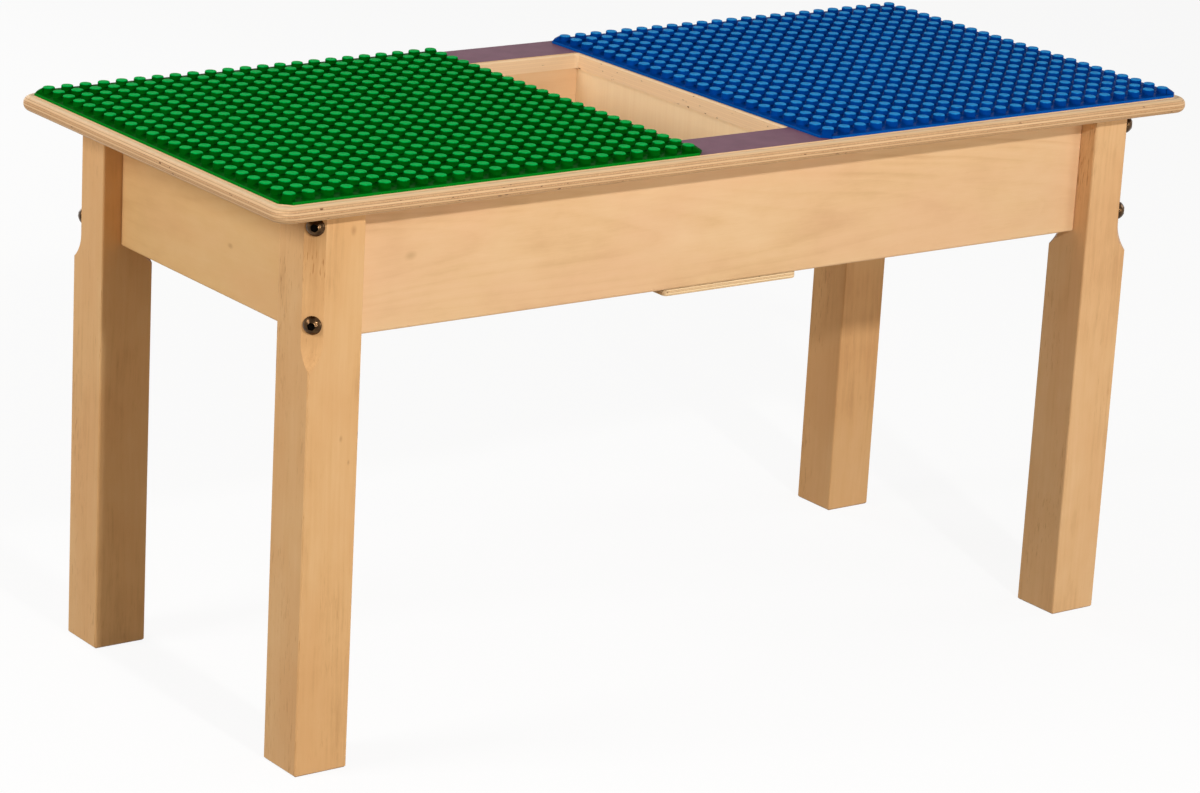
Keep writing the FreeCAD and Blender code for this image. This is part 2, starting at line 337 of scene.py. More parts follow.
    def mix(self, factor: object, first: object, second: object) -> Socket:
        """Blend two colours.

        Args:
            factor: the second colour's share.
            first: one colour.
            second: the other colour.

        Returns:
            The blend.
        """
        node = self.add("ShaderNodeMix", data_type="RGBA")
        for place, value in zip(self.COLOUR_MIX_INPUTS, (factor, first, second)):
            self.feed(node.inputs[place], value)
        return node.outputs[self.COLOUR_MIX_OUTPUT]

    def blend(self, factor: object, first: object, second: object) -> Socket:
        """Blend two numbers.

        Args:
            factor: the second number's share.
            first: one number.
            second: the other number.

        Returns:
            The blend.
        """
        node = self.add("ShaderNodeMix", data_type="FLOAT")
        for place, value in zip(self.NUMBER_MIX_INPUTS, (factor, first, second)):
            self.feed(node.inputs[place], value)
        return node.outputs[0]

    def seen(self) -> Socket:
        """Tell the rays that show a surface itself from those that carry light.

        Returns:
            1 for rays from the camera, by gloss or through glass, 0 for all others.
        """
        path = self.add("ShaderNodeLightPath")
        total = path.outputs["Is Camera Ray"]
        for name in ("Is Glossy Ray", "Is Transmission Ray"):
            total = self.math(Sum.MAXIMUM, total, path.outputs[name])
        return total


class FinishGraph(Graph):
    """The nodes of one new material with its shader."""

    def __init__(self, name: str) -> None:
        """Start a material that holds only its shader.

        Args:
            name: the material's name.
        """
        self.material = bpy.data.materials.new(name)
        self.material.use_nodes = True
        super().__init__(self.material.node_tree)
        self.shader = self.nodes["Principled BSDF"]

    def set(self, **inputs: object) -> None:
        """Feed the shader's inputs, each named in lower case with underscores."""
        for key, value in inputs.items():
            self.feed(self.shader.inputs[key.replace("_", " ").title().replace("Ior", "IOR")], value)

    def bump(self, height: object, distance: float) -> None:
        """Give the shader small relief.

        Args:
            height: how high a point stands, 0 to 1.
            distance: the height of 1, in metres.
        """
        node = self.add("ShaderNodeBump")
        self.feed(node.inputs["Height"], height)
        self.feed(node.inputs["Distance"], distance)
        self.feed(self.shader.inputs["Normal"], node.outputs[0])


@dataclass(frozen=True)
class MapleTone:
    """The colours of one maple board, from its darkest grain to its lightest, and of its pinker parts."""

    dark: Colour
    middle: Colour
    light: Colour
    pink: Colour
    end: Colour


APRON_TONE = MapleTone(dark=srgb(199, 153, 108), middle=srgb(228, 189, 143), light=srgb(241, 208, 167),
                       pink=srgb(231, 185, 147), end=srgb(186, 136, 90))
RAIL_TONE = MapleTone(dark=srgb(198, 149, 96), middle=srgb(224, 182, 126), light=srgb(235, 199, 148),
                      pink=srgb(226, 176, 126), end=srgb(186, 136, 90))
BACK_TONE = MapleTone(dark=srgb(214, 168, 122), middle=srgb(238, 200, 153), light=srgb(248, 216, 176),
                      pink=srgb(236, 190, 148), end=srgb(186, 136, 90))
LEG_TONE = MapleTone(dark=srgb(160, 110, 62), middle=srgb(222, 176, 123), light=srgb(234, 195, 146),
                     pink=srgb(216, 163, 110), end=srgb(172, 122, 74))
PALE_LEG_TONE = MapleTone(dark=srgb(168, 117, 70), middle=srgb(226, 182, 132), light=srgb(238, 199, 154),
                          pink=srgb(220, 168, 119), end=srgb(176, 126, 78))
FAR_LEG_TONE = MapleTone(dark=srgb(156, 104, 60), middle=srgb(219, 172, 119), light=srgb(230, 187, 139),
                         pink=srgb(211, 156, 104), end=srgb(172, 122, 74))
BLOCK_TONE = MapleTone(dark=srgb(188, 138, 90), middle=srgb(221, 176, 126), light=srgb(233, 194, 148),
                       pink=srgb(216, 166, 120), end=srgb(180, 130, 84))


@dataclass(frozen=True)
class Knot:
    """A pin knot: its place in the board from its centre, its size and its darkness."""

    across: float
    through: float
    along: float
    size: float
    darkness: float


@dataclass(frozen=True)
class MapleFinish:
    """Lacquered solid maple: growth rings round a pith beside the board, fibres, flecks and mottle.

    Places in the board are given across its face, through it and along its grain, from its centre. A name
    that ends in span holds the range in which a pattern works, and then the range that it gives.
    """

    tone: MapleTone
    along: Axis
    through: Axis
    pith: Pair
    lean: Pair
    seed: float
    knots: tuple[Knot, ...] = ()
    waves: tuple[tuple[Pattern, float], ...] = (
        (Pattern((11, 11, 3.6), 0, 1.0), 15 * MM),
        (Pattern((45, 45, 7), 1, 1.0), 3.2 * MM),
        (Pattern((130, 130, 16), 3, 1.0), 1.3 * MM),
    )
    ring_width: float = 5.2 * MM
    ring_depth: float = 0.25
    ring_wander: Pattern = Pattern((0.31, 1, 1), detail=1)
    ring_wander_count: float = 2.6
    ring_profile: Stops = ((0.0, grey(0.45)), (0.3, grey(0.0)), (0.85, grey(1.0)), (1.0, grey(0.45)))
    ring_weight_span: Span = (0, 1, 0.2, 1.0)
    ring_fade: Pattern = Pattern((26, 26, 5), 19)
    ring_fade_span: Span = (0.38, 0.64, 0.1, 1.0)
    fleck_depth: float = 0.03
    fleck_face: float = 0.3
    fleck_face_span: Span = (0.72, 0.95)
    fleck_dash: Pattern = Pattern((860, 860, 84), 13)
    fleck_patch: Pattern = Pattern((34, 34, 11), 17)
    fleck_limit_span: Span = (0.38, 0.62, 0.72, 0.57)
    fleck_softness: float = 0.08
    # painted shade: how much darker a cut at an angle across the board's corner is painted
    cut_shade_depth: float = 0.0
    cut_facing: float = 0.7
    cut_span: Span = (0.10, 0.22, 1.0, 0.0)
    knot_stretch: Triple = (1, 0.2, 0.6)
    knot_colour: Colour = srgb(146, 96, 58)
    middle_shade: float = 0.54
    figure: Pattern = Pattern((30, 30, 4), 11, 3)
    figure_depth: float = 0.42
    streaks: Pattern = Pattern((330, 330, 9), 5, 3)
    streak_depth: float = 0.10
    mottle: Pattern = Pattern((60, 60, 34), 9, 3)
    mottle_depth: float = 0.34
    clouds: Pattern = Pattern((13, 13, 6), 15)
    cloud_depth: float = 0.46
    fibres: Pattern = Pattern((1400, 1400, 60), 7)
    fibre_depth: float = 0.16
    blush: Pattern = Pattern((17, 17, 8), 21, 3)
    blush_span: Span = (0.42, 0.66, 0.0, 0.8)
    blush_share: float = 0.5
    end_grain_span: Span = (0.55, 0.95)
    end_pores: Pattern = Pattern((1300, 1300, 300), 2)
    end_pore_share: float = 0.7
    roughness: float = 0.42
    fibre_span: Span = (0.2, 0.8)
    smoother: float = 0.06
    rougher: float = 0.08
    gloss: float = 0.12
    sheen: Colour = (1.0, 0.76, 0.52, 1.0)
    fleck_relief: float = 1.5
    relief: float = 0.03 * MM

    def board_place(self, graph: Graph, centre: Vector) -> Socket:
        """Turn a point's place in the frame into its place in the board.

        Args:
            graph: the material's nodes.
            centre: the middle of the board.

        Returns:
            The place across, through and along the board.
        """
        across = next(axis for axis in Axis if axis not in (self.along, self.through))
        place = graph.vector(Sum.MINUS, graph.place(), tuple(centre))
        return graph.joined(*(graph.part(place, axis) for axis in (across, self.through, self.along)))

    def bent(self, graph: Graph, place: Socket) -> Socket:
        """Add the slow waves of the trunk and the small ones of its fibres to a place.

        Args:
            graph: the material's nodes.
            place: a point's place in the board.

        Returns:
            The place, moved by the waves.
        """
        for pattern, size in self.waves:
            wave = graph.layer(place, pattern, self.seed).outputs["Color"]
            shift = graph.vector(Sum.MINUS, wave, (HALF, HALF, HALF))
            place = graph.vector(Sum.TIMES_PLUS, shift, (size, size, 0), place)
        return place

    def rings(self, graph: Graph, place: Socket) -> Socket:
        """Draw the late wood of the growth rings, as soft lines that come and go.

        Args:
            graph: the material's nodes.
            place: a point's place in the board, with the grain's waves.

        Returns:
            How dark the late wood is, 0 to 1.
        """
        along = graph.part(place, Axis.Z)
        offset = graph.vector(Sum.TIMES_PLUS, along, (*self.lean, 0), (*self.pith, 0))
        from_pith = graph.vector(Sum.TIMES, graph.vector(Sum.ADD, place, offset), (1, 1, 0))
        count = graph.math(Sum.DIVIDE, graph.vector(Sum.LENGTH, from_pith), self.ring_width)
        uneven = graph.grain(graph.joined(count, self.seed, 0), self.ring_wander)
        count = graph.math(Sum.ADD, count, graph.math(Sum.TIMES, uneven, self.ring_wander_count))
        line = graph.ramp(graph.math(Sum.FRACTION, count), self.ring_profile)
        own = graph.add("ShaderNodeTexWhiteNoise", noise_dimensions="1D")
        graph.feed(own.inputs["W"], graph.math(Sum.ADD, graph.math(Sum.FLOOR, count), self.seed))
        weight = graph.remap(own.outputs["Value"], *self.ring_weight_span)
        fade = graph.remap(graph.grain(place, self.ring_fade, self.seed), *self.ring_fade_span)
        return graph.math(Sum.TIMES, graph.math(Sum.TIMES, line, weight), fade)

    def facing(self, graph: Graph) -> Socket:
        """How squarely the surface lies in the board's own face, 0 to 1."""
        return graph.math(Sum.ABSOLUTE, graph.vector(Sum.DOT, graph.normal(), self.through.unit()))

    def flecks(self, graph: Graph, place: Socket) -> Socket:
        """Draw the short dark fibres, in patches, and fewer on the board's own face.

        Args:
            graph: the material's nodes.
            place: a point's place in the board, with the grain's waves.

        Returns:
            Where the fibres lie, 0 to 1.
        """
        dash = graph.grain(place, self.fleck_dash, self.seed)
        patch = graph.grain(place, self.fleck_patch, self.seed)
        limit = graph.remap(patch, *self.fleck_limit_span)
        share = graph.remap(self.facing(graph), *self.fleck_face_span, 1.0, self.fleck_face)
        dark = graph.remap(graph.math(Sum.MINUS, dash, limit), 0.0, self.fleck_softness)
        return graph.math(Sum.TIMES, dark, share)

    def painted_cut_shade(self, graph: Graph) -> Socket:
        """1 on a cut that runs at an angle across the board's corner, which is painted darker as shade, 0 on
        its faces.
        """
        away = graph.math(Sum.MINUS, self.facing(graph), self.cut_facing)
        return graph.remap(graph.math(Sum.ABSOLUTE, away), *self.cut_span)

    def knot_marks(self, graph: Graph, place: Socket) -> Socket:
        """Draw the pin knots.

        Args:
            graph: the material's nodes.
            place: a point's place in the board, with the grain's waves.

        Returns:
            Where the knots lie, 0 to 1.
        """
        marks: object = 0.0
        for knot in self.knots:
            away = graph.vector(Sum.MINUS, place, (knot.across, knot.through, knot.along))
            away = graph.vector(Sum.TIMES, away, self.knot_stretch)
            distance = graph.vector(Sum.LENGTH, away)
            mark = graph.remap(distance, knot.size, 0.0, 0.0, knot.darkness, smooth=True)
            marks = graph.math(Sum.MAXIMUM, marks, mark)
        return marks

    def shade(self, graph: Graph, place: Socket, bent: Socket, fibre: Socket, flecks: Socket) -> Socket:
        """Add up the patterns of the long grain.

        Args:
            graph: the material's nodes.
            place: a point's place in the board.
            bent: the same place with the grain's waves.
            fibre: the pattern of the fine fibres.
            flecks: where the short dark fibres lie.

        Returns:
            How light the wood is, 0 to 1.
        """
        layers = (
            (graph.grain(bent, self.figure, self.seed), self.figure_depth),
            (graph.grain(bent, self.streaks, self.seed), self.streak_depth),
            (graph.grain(place, self.mottle, self.seed), self.mottle_depth),
            (graph.grain(place, self.clouds, self.seed), self.cloud_depth),
            (fibre, self.fibre_depth),
        )
        shade = graph.math(Sum.TIMES_PLUS, self.rings(graph, bent), -self.ring_depth, self.middle_shade)
        for level, depth in layers:
            shade = graph.math(Sum.ADD, shade, graph.math(Sum.TIMES, graph.centred(level), depth))
        shade = graph.math(Sum.TIMES_PLUS, flecks, -self.fleck_depth, shade)
        # painted shade on cuts at an angle across the board's corner
        if self.cut_shade_depth:
            shade = graph.math(Sum.TIMES_PLUS, self.painted_cut_shade(graph), -self.cut_shade_depth, shade)
        return shade

    def colour(self, graph: Graph, place: Socket, bent: Socket, shade: Socket) -> Socket:
        """Colour the long grain.

        Args:
            graph: the material's nodes.
            place: a point's place in the board.
            bent: the same place with the grain's waves.
            shade: how light the wood is.

        Returns:
            The colour, before the end grain.
        """
        tone = self.tone
        colour = graph.ramp(shade, ((0.0, tone.dark), (HALF, tone.middle), (1.0, tone.light)))
        blush = graph.remap(graph.grain(place, self.blush, self.seed), *self.blush_span)
        colour = graph.mix(blush, colour, graph.mix(self.blush_share, colour, tone.pink))
        if self.knots:
            colour = graph.mix(self.knot_marks(graph, bent), colour, self.knot_colour)
        return colour

    def material(self, name: str, centre: Vector) -> bpy.types.Material:
        """Make the finish for one board.

        Args:
            name: the material's name.
            centre: the middle of the board.

        Returns:
            The material.
        """
        graph = FinishGraph(name)
        place = self.board_place(graph, centre)
        bent = self.bent(graph, place)
        fibre = graph.grain(bent, self.fibres, self.seed)
        flecks = self.flecks(graph, bent)
        colour = self.colour(graph, place, bent, self.shade(graph, place, bent, fibre, flecks))
        facing_end = graph.vector(Sum.DOT, graph.normal(), self.along.unit())
        end_grain = graph.remap(graph.math(Sum.ABSOLUTE, facing_end), *self.end_grain_span)
        pores = graph.math(Sum.TIMES, graph.grain(place, self.end_pores, self.seed), self.end_pore_share)
        end_colour = graph.mix(pores, self.tone.end, self.tone.dark)
        graph.set(base_color=graph.mix(end_grain, colour, end_colour),
                  roughness=graph.remap(fibre, *self.fibre_span, self.roughness - self.smoother,
                                        self.roughness + self.rougher),
                  specular_ior_level=self.gloss, specular_tint=self.sheen)
        graph.bump(graph.math(Sum.TIMES_PLUS, flecks, -self.fleck_relief, fibre), self.relief)
        return graph.material


@dataclass(frozen=True)
class PlyGrain:
    """Noise drawn out along a ply's grain: its rates, its place in the noise and its weight."""

    across: float
    along: float
    offset: float
    weight: float


@dataclass(frozen=True)
class PlyPoint:
    """A point of a plywood board, in its material's nodes.

    place is where it lies in the frame, level counts the plies below it, odd is 1 in every second ply, and
    rim counts the plies between it and the nearer face.
    """

    place: Socket
    level: Socket
    odd: Socket
    rim: Socket


@dataclass(frozen=True)
class PlywoodFinish:
    """Lacquered plywood: plies with crossing grain, their glue lines, pores and small voids.

    The plies lie on each other along one axis, and the outer ones' grain runs along another. Within the
    plain half widths round the z axis the edge is filled and sanded, so that its plies hardly show. A name
    that ends in span holds the range in which a pattern works, and then the range that it gives.
    """

    stack: Axis
    low: float
    thickness: float
    plies: int
    face_grain: Axis
    seed: float
    side: Colour = srgb(230, 193, 149)
    side_dark: Colour = srgb(215, 175, 131)
    side_stops: Pair = (0.45, 0.85)
    filler: Colour = srgb(248, 216, 175)
    end: Colour = srgb(216, 174, 131)
    end_dark: Colour = srgb(192, 148, 106)
    end_stops: Pair = (0.35, 0.7)
    glue: Colour = srgb(134, 90, 56)
    void: Colour = srgb(96, 64, 42)
    # colour of the painted highlight along each face's arris, standing in for light catching the edge
    arris: Colour = srgb(244, 220, 184)
    plain: Pair = (0.0, 0.0)
    wander: Pattern = even(35)
    wander_height: float = 0.5 * MM
    outermost: float = 0.02
    facing_power: float = 2.0
    end_grain_span: Span = (0.25, 0.8)
    streaks: PlyGrain = PlyGrain(360, 9, 2, 0.55)
    fibres: PlyGrain = PlyGrain(1300, 26, 4, 0.4)
    figure: PlyGrain = PlyGrain(60, 3.2, 6, 0.4)
    ply_step: float = 3.7
    ply_detail: float = 3.0
    pores: Pattern = even(1100, 8, 3)
    seam_half_width: float = 0.22 * MM
    seam_rim_span: Span = (0.3, 0.5)
    unevenness: Pattern = even(24, 12)
    unevenness_span: Span = (0.35, 0.65, 0.55, 1.0)
    filler_share: float = 0.85
    filled_seam: float = 0.15
    # depths from a face over which the painted arris highlight fades in, and its strength
    arris_from: float = 0.9 * MM
    arris_to: float = 0.4 * MM
    arris_highlight_share: float = 0.35
    voids: Pattern = Pattern((170, 170, 520), 10, 1)
    void_span: Span = (0.71, 0.76)
    void_relief: float = 4.0
    roughness: float = 0.44
    fibre_span: Span = (0.2, 0.8)
    smoother: float = 0.05
    rougher: float = 0.1
    gloss: float = 0.08
    relief: float = 0.04 * MM

    @property
    def ply(self) -> float:
        """The thickness of one ply."""
        return self.thickness / self.plies

    @property
    def cross(self) -> Axis:
        """The direction of the grain in every second ply."""
        return next(axis for axis in Axis if axis not in (self.stack, self.face_grain))

    def point(self, graph: Graph) -> PlyPoint:
        """Find a point's place among the plies.

        Args:
            graph: the material's nodes.

        Returns:
            The point.
        """
        place = graph.place()
        wander = graph.centred(graph.grain(place, self.wander, self.seed))
        height = graph.part(place, self.stack)
        height = graph.math(Sum.ADD, height, graph.math(Sum.TIMES, wander, self.wander_height))
        level = graph.math(Sum.DIVIDE, graph.math(Sum.MINUS, height, self.low), self.ply)
        level = graph.math(Sum.MAXIMUM, level, self.outermost)
        level = graph.math(Sum.MINIMUM, level, self.plies - self.outermost)
        odd = graph.math(Sum.REMAINDER, graph.math(Sum.FLOOR, level), 2.0)
        rim = graph.math(Sum.MINIMUM, level, graph.math(Sum.MINUS, float(self.plies), level))
        return PlyPoint(place, level, odd, rim)

    def filled(self, graph: Graph, point: PlyPoint) -> object:
        """Mark the part of the edge that is filled and sanded.

        Args:
            graph: the material's nodes.
            point: a point of the board.

        Returns:
            1 within the plain half widths, 0 outside them.
        """
        inside: object = 1.0
        for axis, half in zip((Axis.X, Axis.Y), self.plain):
            away = graph.math(Sum.ABSOLUTE, graph.part(point.place, axis))
            inside = graph.math(Sum.TIMES, inside, graph.math(Sum.LESS, away, half))
        return inside

    def end_grain(self, graph: Graph, point: PlyPoint) -> Socket:
        """Tell the ends of the plies' grain from its sides.

        Args:
            graph: the material's nodes.
            point: a point of the board.

        Returns:
            1 where the surface cuts the ply's grain across, 0 where it runs along it.
        """
        facing = graph.normal()
        squared = []
        for axis in (self.face_grain, self.cross):
            facing_grain = graph.math(Sum.ABSOLUTE, graph.part(facing, axis))
            squared.append(graph.math(Sum.POWER, facing_grain, self.facing_power))
        return graph.remap(graph.blend(point.odd, *squared), *self.end_grain_span)

    def ply_grain(self, graph: Graph, point: PlyPoint, grain: PlyGrain) -> Socket:
        """Draw noise out along each ply's own grain, never the same in two plies.

        Args:
            graph: the material's nodes.
            point: a point of the board.
            grain: the rates and the place of the noise.

        Returns:
            The noise, 0 to 1.
        """
        own = graph.math(Sum.TIMES, graph.math(Sum.FLOOR, point.level), self.ply_step)
        noises = []
        for axis in (self.face_grain, self.cross):
            rates = tuple(grain.along if axis is other else grain.across for other in Axis)
            vector = graph.stretched(point.place, rates, self.seed + grain.offset)
            noises.append(graph.noise(graph.vector(Sum.ADD, vector, own), self.ply_detail).outputs[0])
        return graph.blend(point.odd, *noises)

    def wood(self, graph: Graph, point: PlyPoint, fibre: Socket, end_grain: Socket) -> Socket:
        """Colour the plies.

        Args:
            graph: the material's nodes.
            point: a point of the board.
            fibre: the pattern of the fine fibres.
            end_grain: where the surface cuts the grain across.

        Returns:
            The colour of the wood alone.
        """
        shade = graph.math(Sum.TIMES, self.ply_grain(graph, point, self.streaks), self.streaks.weight)
        shade = graph.math(Sum.ADD, shade, graph.math(Sum.TIMES, fibre, self.fibres.weight))
        figure = graph.math(Sum.TIMES, self.ply_grain(graph, point, self.figure), self.figure.weight)
        shade = graph.math(Sum.ADD, shade, figure)
        pores = graph.grain(point.place, self.pores, self.seed)
        side = graph.ramp(shade, tuple(zip(self.side_stops, (self.side_dark, self.side))))
        end = graph.ramp(pores, tuple(zip(self.end_stops, (self.end_dark, self.end))))
        return graph.mix(end_grain, side, end)

    def seams(self, graph: Graph, point: PlyPoint, filled: object) -> Socket:
        """Draw the glue lines between the plies, uneven in strength.

        Args:
            graph: the material's nodes.
            point: a point of the board.
            filled: where the edge is filled and sanded.

        Returns:
            Where the glue shows, 0 to 1.
        """
        seam = graph.math(Sum.ABSOLUTE, graph.centred(graph.math(Sum.FRACTION, point.level)))
        seam = graph.remap(seam, HALF - self.seam_half_width / self.ply, HALF, smooth=True)
        seam = graph.math(Sum.TIMES, seam, graph.remap(point.rim, *self.seam_rim_span))
        worn = graph.remap(graph.grain(point.place, self.unevenness, self.seed), *self.unevenness_span)
        share = graph.math(Sum.TIMES, worn, graph.blend(filled, 1.0, self.filled_seam))
        return graph.math(Sum.TIMES, seam, share)

    def material(self, name: str) -> bpy.types.Material:
        """Make the finish for one board.

        Args:
            name: the material's name.

        Returns:
            The material.
        """
        graph = FinishGraph(name)
        point = self.point(graph)
        end_grain = self.end_grain(graph, point)
        fibre = self.ply_grain(graph, point, self.fibres)
        filled = self.filled(graph, point)
        colour = self.wood(graph, point, fibre, end_grain)
        colour = graph.mix(graph.math(Sum.TIMES, filled, self.filler_share), colour, self.filler)
        colour = graph.mix(self.seams(graph, point, filled), colour, self.glue)
        # painted highlight: the ply next to each face is lightened, standing in for light catching the arris
        painted_highlight = graph.remap(point.rim, self.arris_from / self.ply, self.arris_to / self.ply,
                             0.0, self.arris_highlight_share)
        colour = graph.mix(painted_highlight, colour, self.arris)
        hole = graph.remap(graph.grain(point.place, self.voids, self.seed), *self.void_span)
        hole = graph.math(Sum.TIMES, hole, end_grain)
        graph.set(base_color=graph.mix(hole, colour, self.void),
                  roughness=graph.remap(fibre, *self.fibre_span, self.roughness - self.smoother,
                                        self.roughness + self.rougher),
                  specular_ior_level=self.gloss)
        depth = graph.math(Sum.TIMES, hole, self.void_relief)
        graph.bump(graph.math(Sum.MINUS, fibre, depth), self.relief)
        return graph.material


@dataclass(frozen=True)
class LaminateFinish:
    """Satin laminate with a pale core that shows at its edges."""

    low_colour: Colour = srgb(121, 82, 98)
    high_colour: Colour = srgb(133, 92, 109)
    core: Colour = srgb(224, 190, 150)
    cloud: Pattern = even(60, 4.2, 3)
    cloud_weight: float = 0.6
    speck: Pattern = even(1600, 6.1)
    speck_weight: float = 0.4
    stops: Pair = (0.35, 0.65)
    edge_span: Span = (0.7, 0.4)
    speck_span: Span = (0.3, 0.7)
    roughness: float = 0.36
    smoother: float = 0.05
    rougher: float = 0.07
    gloss: float = 0.02
    relief: float = 0.02 * MM

    def material(self, name: str) -> bpy.types.Material:
        """Make the finish.

        Args:
            name: the material's name.

        Returns:
            The material.
        """
        graph = FinishGraph(name)
        place = graph.place()
        speck = graph.grain(place, self.speck)
        cloud = graph.math(Sum.TIMES, graph.grain(place, self.cloud), self.cloud_weight)
        shade = graph.math(Sum.ADD, cloud, graph.math(Sum.TIMES, speck, self.speck_weight))
        colour = graph.ramp(shade, tuple(zip(self.stops, (self.low_colour, self.high_colour))))
        upright = graph.math(Sum.ABSOLUTE, graph.part(graph.normal(), Axis.Z))
        edge = graph.remap(upright, *self.edge_span)
        graph.set(base_color=graph.mix(edge, colour, self.core),
                  roughness=graph.remap(speck, *self.speck_span, self.roughness - self.smoother,
                                        self.roughness + self.rougher),
                  specular_ior_level=self.gloss)
        graph.bump(speck, self.relief)
        return graph.material


@dataclass(frozen=True)
class PlasticFinish:
    """Glossy moulded plastic in cloudy deep tones, with painted highlights: the studs' tops and the sheet's
    outer edge are painted lighter, standing in for the light that falls on them.
    """

    deep: Colour
    full: Colour
    # colour of the painted highlight on the studs' tops, standing in for the light that falls on them
    painted_highlight: Colour
    # colour of the painted highlight along the sheet's outer edge, where light catches its arris
    edge: Colour
    # heights over which the painted highlight on the studs' tops fades in
    painted_highlight_from: float = 0.4493
    painted_highlight_to: float = 0.4504
    cloud: Pattern = even(28, 2.4, 3)
    cloud_stops: Pair = (0.3, 0.7)
    # noise that makes the lower edge of the painted highlight uneven
    unevenness: Pattern = even(260, 8.3)
    unevenness_height: float = 1.2 * MM
    # width and strength of the painted highlight along the sheet's edge
    edge_highlight_width: float = 0.7 * MM
    edge_core: float = 0.4
    edge_highlight_share: float = 0.8
    fine: Pattern = even(700, 5.5)
    fine_span: Span = (0.3, 0.7)
    roughness: float = 0.2
    smoother: float = 0.04
    rougher: float = 0.06
    gloss: float = 0.0015
    relief: float = 0.03 * MM

    def painted_highlight_places(self, graph: Graph, place: Socket) -> Socket:
        """Mark the tops of the studs, which take a painted highlight standing in for the light that falls on
        them.

        Args:
            graph: the material's nodes.
            place: where a point lies in the frame.

        Returns:
            How much of the painted highlight it takes, 0 to 1.
        """
        unevenness = graph.centred(graph.grain(place, self.unevenness))
        height = graph.math(Sum.TIMES_PLUS, unevenness, self.unevenness_height, graph.part(place, Axis.Z))
        return graph.remap(height, self.painted_highlight_from, self.painted_highlight_to, smooth=True)

    def material(self, name: str, centre: Vector, half: float) -> bpy.types.Material:
        """Make the finish for one square sheet.

        Args:
            name: the material's name.
            centre: the middle of the sheet.
            half: half of the sheet's side.

        Returns:
            The material.
        """
        graph = FinishGraph(name)
        place = graph.place()
        tones = tuple(zip(self.cloud_stops, (self.deep, self.full)))
        cloud = graph.ramp(graph.grain(place, self.cloud), tones)
        # painted highlight on the studs' tops, standing in for the light that falls on them
        colour = graph.mix(self.painted_highlight_places(graph, place), cloud, self.painted_highlight)
        # painted highlight: a lighter band along the sheet's outer edge stands in for light catching its
        # arris
        away = graph.vector(Sum.ABSOLUTE, graph.vector(Sum.MINUS, place, tuple(centre)))
        out = graph.math(Sum.MAXIMUM, graph.part(away, Axis.X), graph.part(away, Axis.Y))
        rim = graph.remap(out, half - self.edge_highlight_width, half - self.edge_highlight_width * self.edge_core)
        colour = graph.mix(graph.math(Sum.TIMES, rim, self.edge_highlight_share), colour, self.edge)
        fine = graph.grain(place, self.fine)
        graph.set(base_color=colour, specular_ior_level=self.gloss,
                  roughness=graph.remap(fine, *self.fine_span, self.roughness - self.smoother,
                                        self.roughness + self.rougher))
        graph.bump(fine, self.relief)
        return graph.material


@dataclass(frozen=True)
class MetalFinish:
    """Plated steel with fine turning marks and a slightly uneven plating."""

    low_colour: Colour
    high_colour: Colour
    roughness: float
    cloud: Pattern = even(240, 1.3, 3)
    cloud_stops: Pair = (0.35, 0.65)
    fine: Pattern = even(2600, 3.1)
    fine_span: Span = (0.3, 0.7)
    smoother: float = 0.04
    rougher: float = 0.08
    relief: float = 0.01 * MM

    def material(self, name: str) -> bpy.types.Material:
        """Make the finish.

        Args:
            name: the material's name.

        Returns:
            The material.
        """
        graph = FinishGraph(name)
        place = graph.place()
        cloud = graph.grain(place, self.cloud)
        fine = graph.grain(place, self.fine)
        tones = tuple(zip(self.cloud_stops, (self.low_colour, self.high_colour)))
        graph.set(base_color=graph.ramp(cloud, tones), metallic=1.0,
                  roughness=graph.remap(fine, *self.fine_span, self.roughness - self.smoother,
                                        self.roughness + self.rougher))
        graph.bump(fine, self.relief)
        return graph.material


# each plastic: cloudy deep and full tones, then the painted highlight of its studs' tops, then the painted
# highlight of its edge
GREEN_PLASTIC = PlasticFinish(deep=srgb(0, 74, 6), full=srgb(0, 94, 16), painted_highlight=srgb(3, 180, 78),
                              edge=srgb(8, 130, 32))
BLUE_PLASTIC = PlasticFinish(deep=srgb(0, 52, 126), full=srgb(2, 69, 152), painted_highlight=srgb(38, 146, 216),
                             edge=srgb(10, 84, 166))
BRONZED_STEEL = MetalFinish(srgb(60, 43, 28), srgb(92, 68, 44), roughness=0.2)
# painted shade: the bolts' hexagon sockets take a near-black metal, standing in for the shade inside the
# recess
SOCKET_SHADE_STEEL = MetalFinish(srgb(14, 11, 9), srgb(22, 18, 15), roughness=0.6)
ZINC_STEEL = MetalFinish(srgb(176, 176, 170), srgb(206, 205, 198), roughness=0.30)


def middle_of(node: str) -> Vector:
    """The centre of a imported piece's box."""
    low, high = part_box(node)
    return (low + high) / 2


def dress(node: str, material: bpy.types.Material) -> None:
    """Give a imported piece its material.

    Args:
        node: the piece's name.
        material: the material that covers all of it.
    """
    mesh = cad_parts[node].data
    mesh.materials.clear()
    mesh.materials.append(material)
    LOG.info("%s is dressed in %s", node, material.name)


def add_piece(name: str, mesh: bpy.types.Mesh, slot: str, *nodes: str) -> None:
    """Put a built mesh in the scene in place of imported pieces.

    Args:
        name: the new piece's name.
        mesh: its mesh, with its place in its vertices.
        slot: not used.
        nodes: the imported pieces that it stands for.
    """
    piece = bpy.data.objects.new(name, mesh)
    bpy.context.scene.collection.objects.link(piece)
    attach(piece, BODY)
    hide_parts(*nodes)
    LOG.info("%s is built with %d faces", name, len(mesh.polygons))


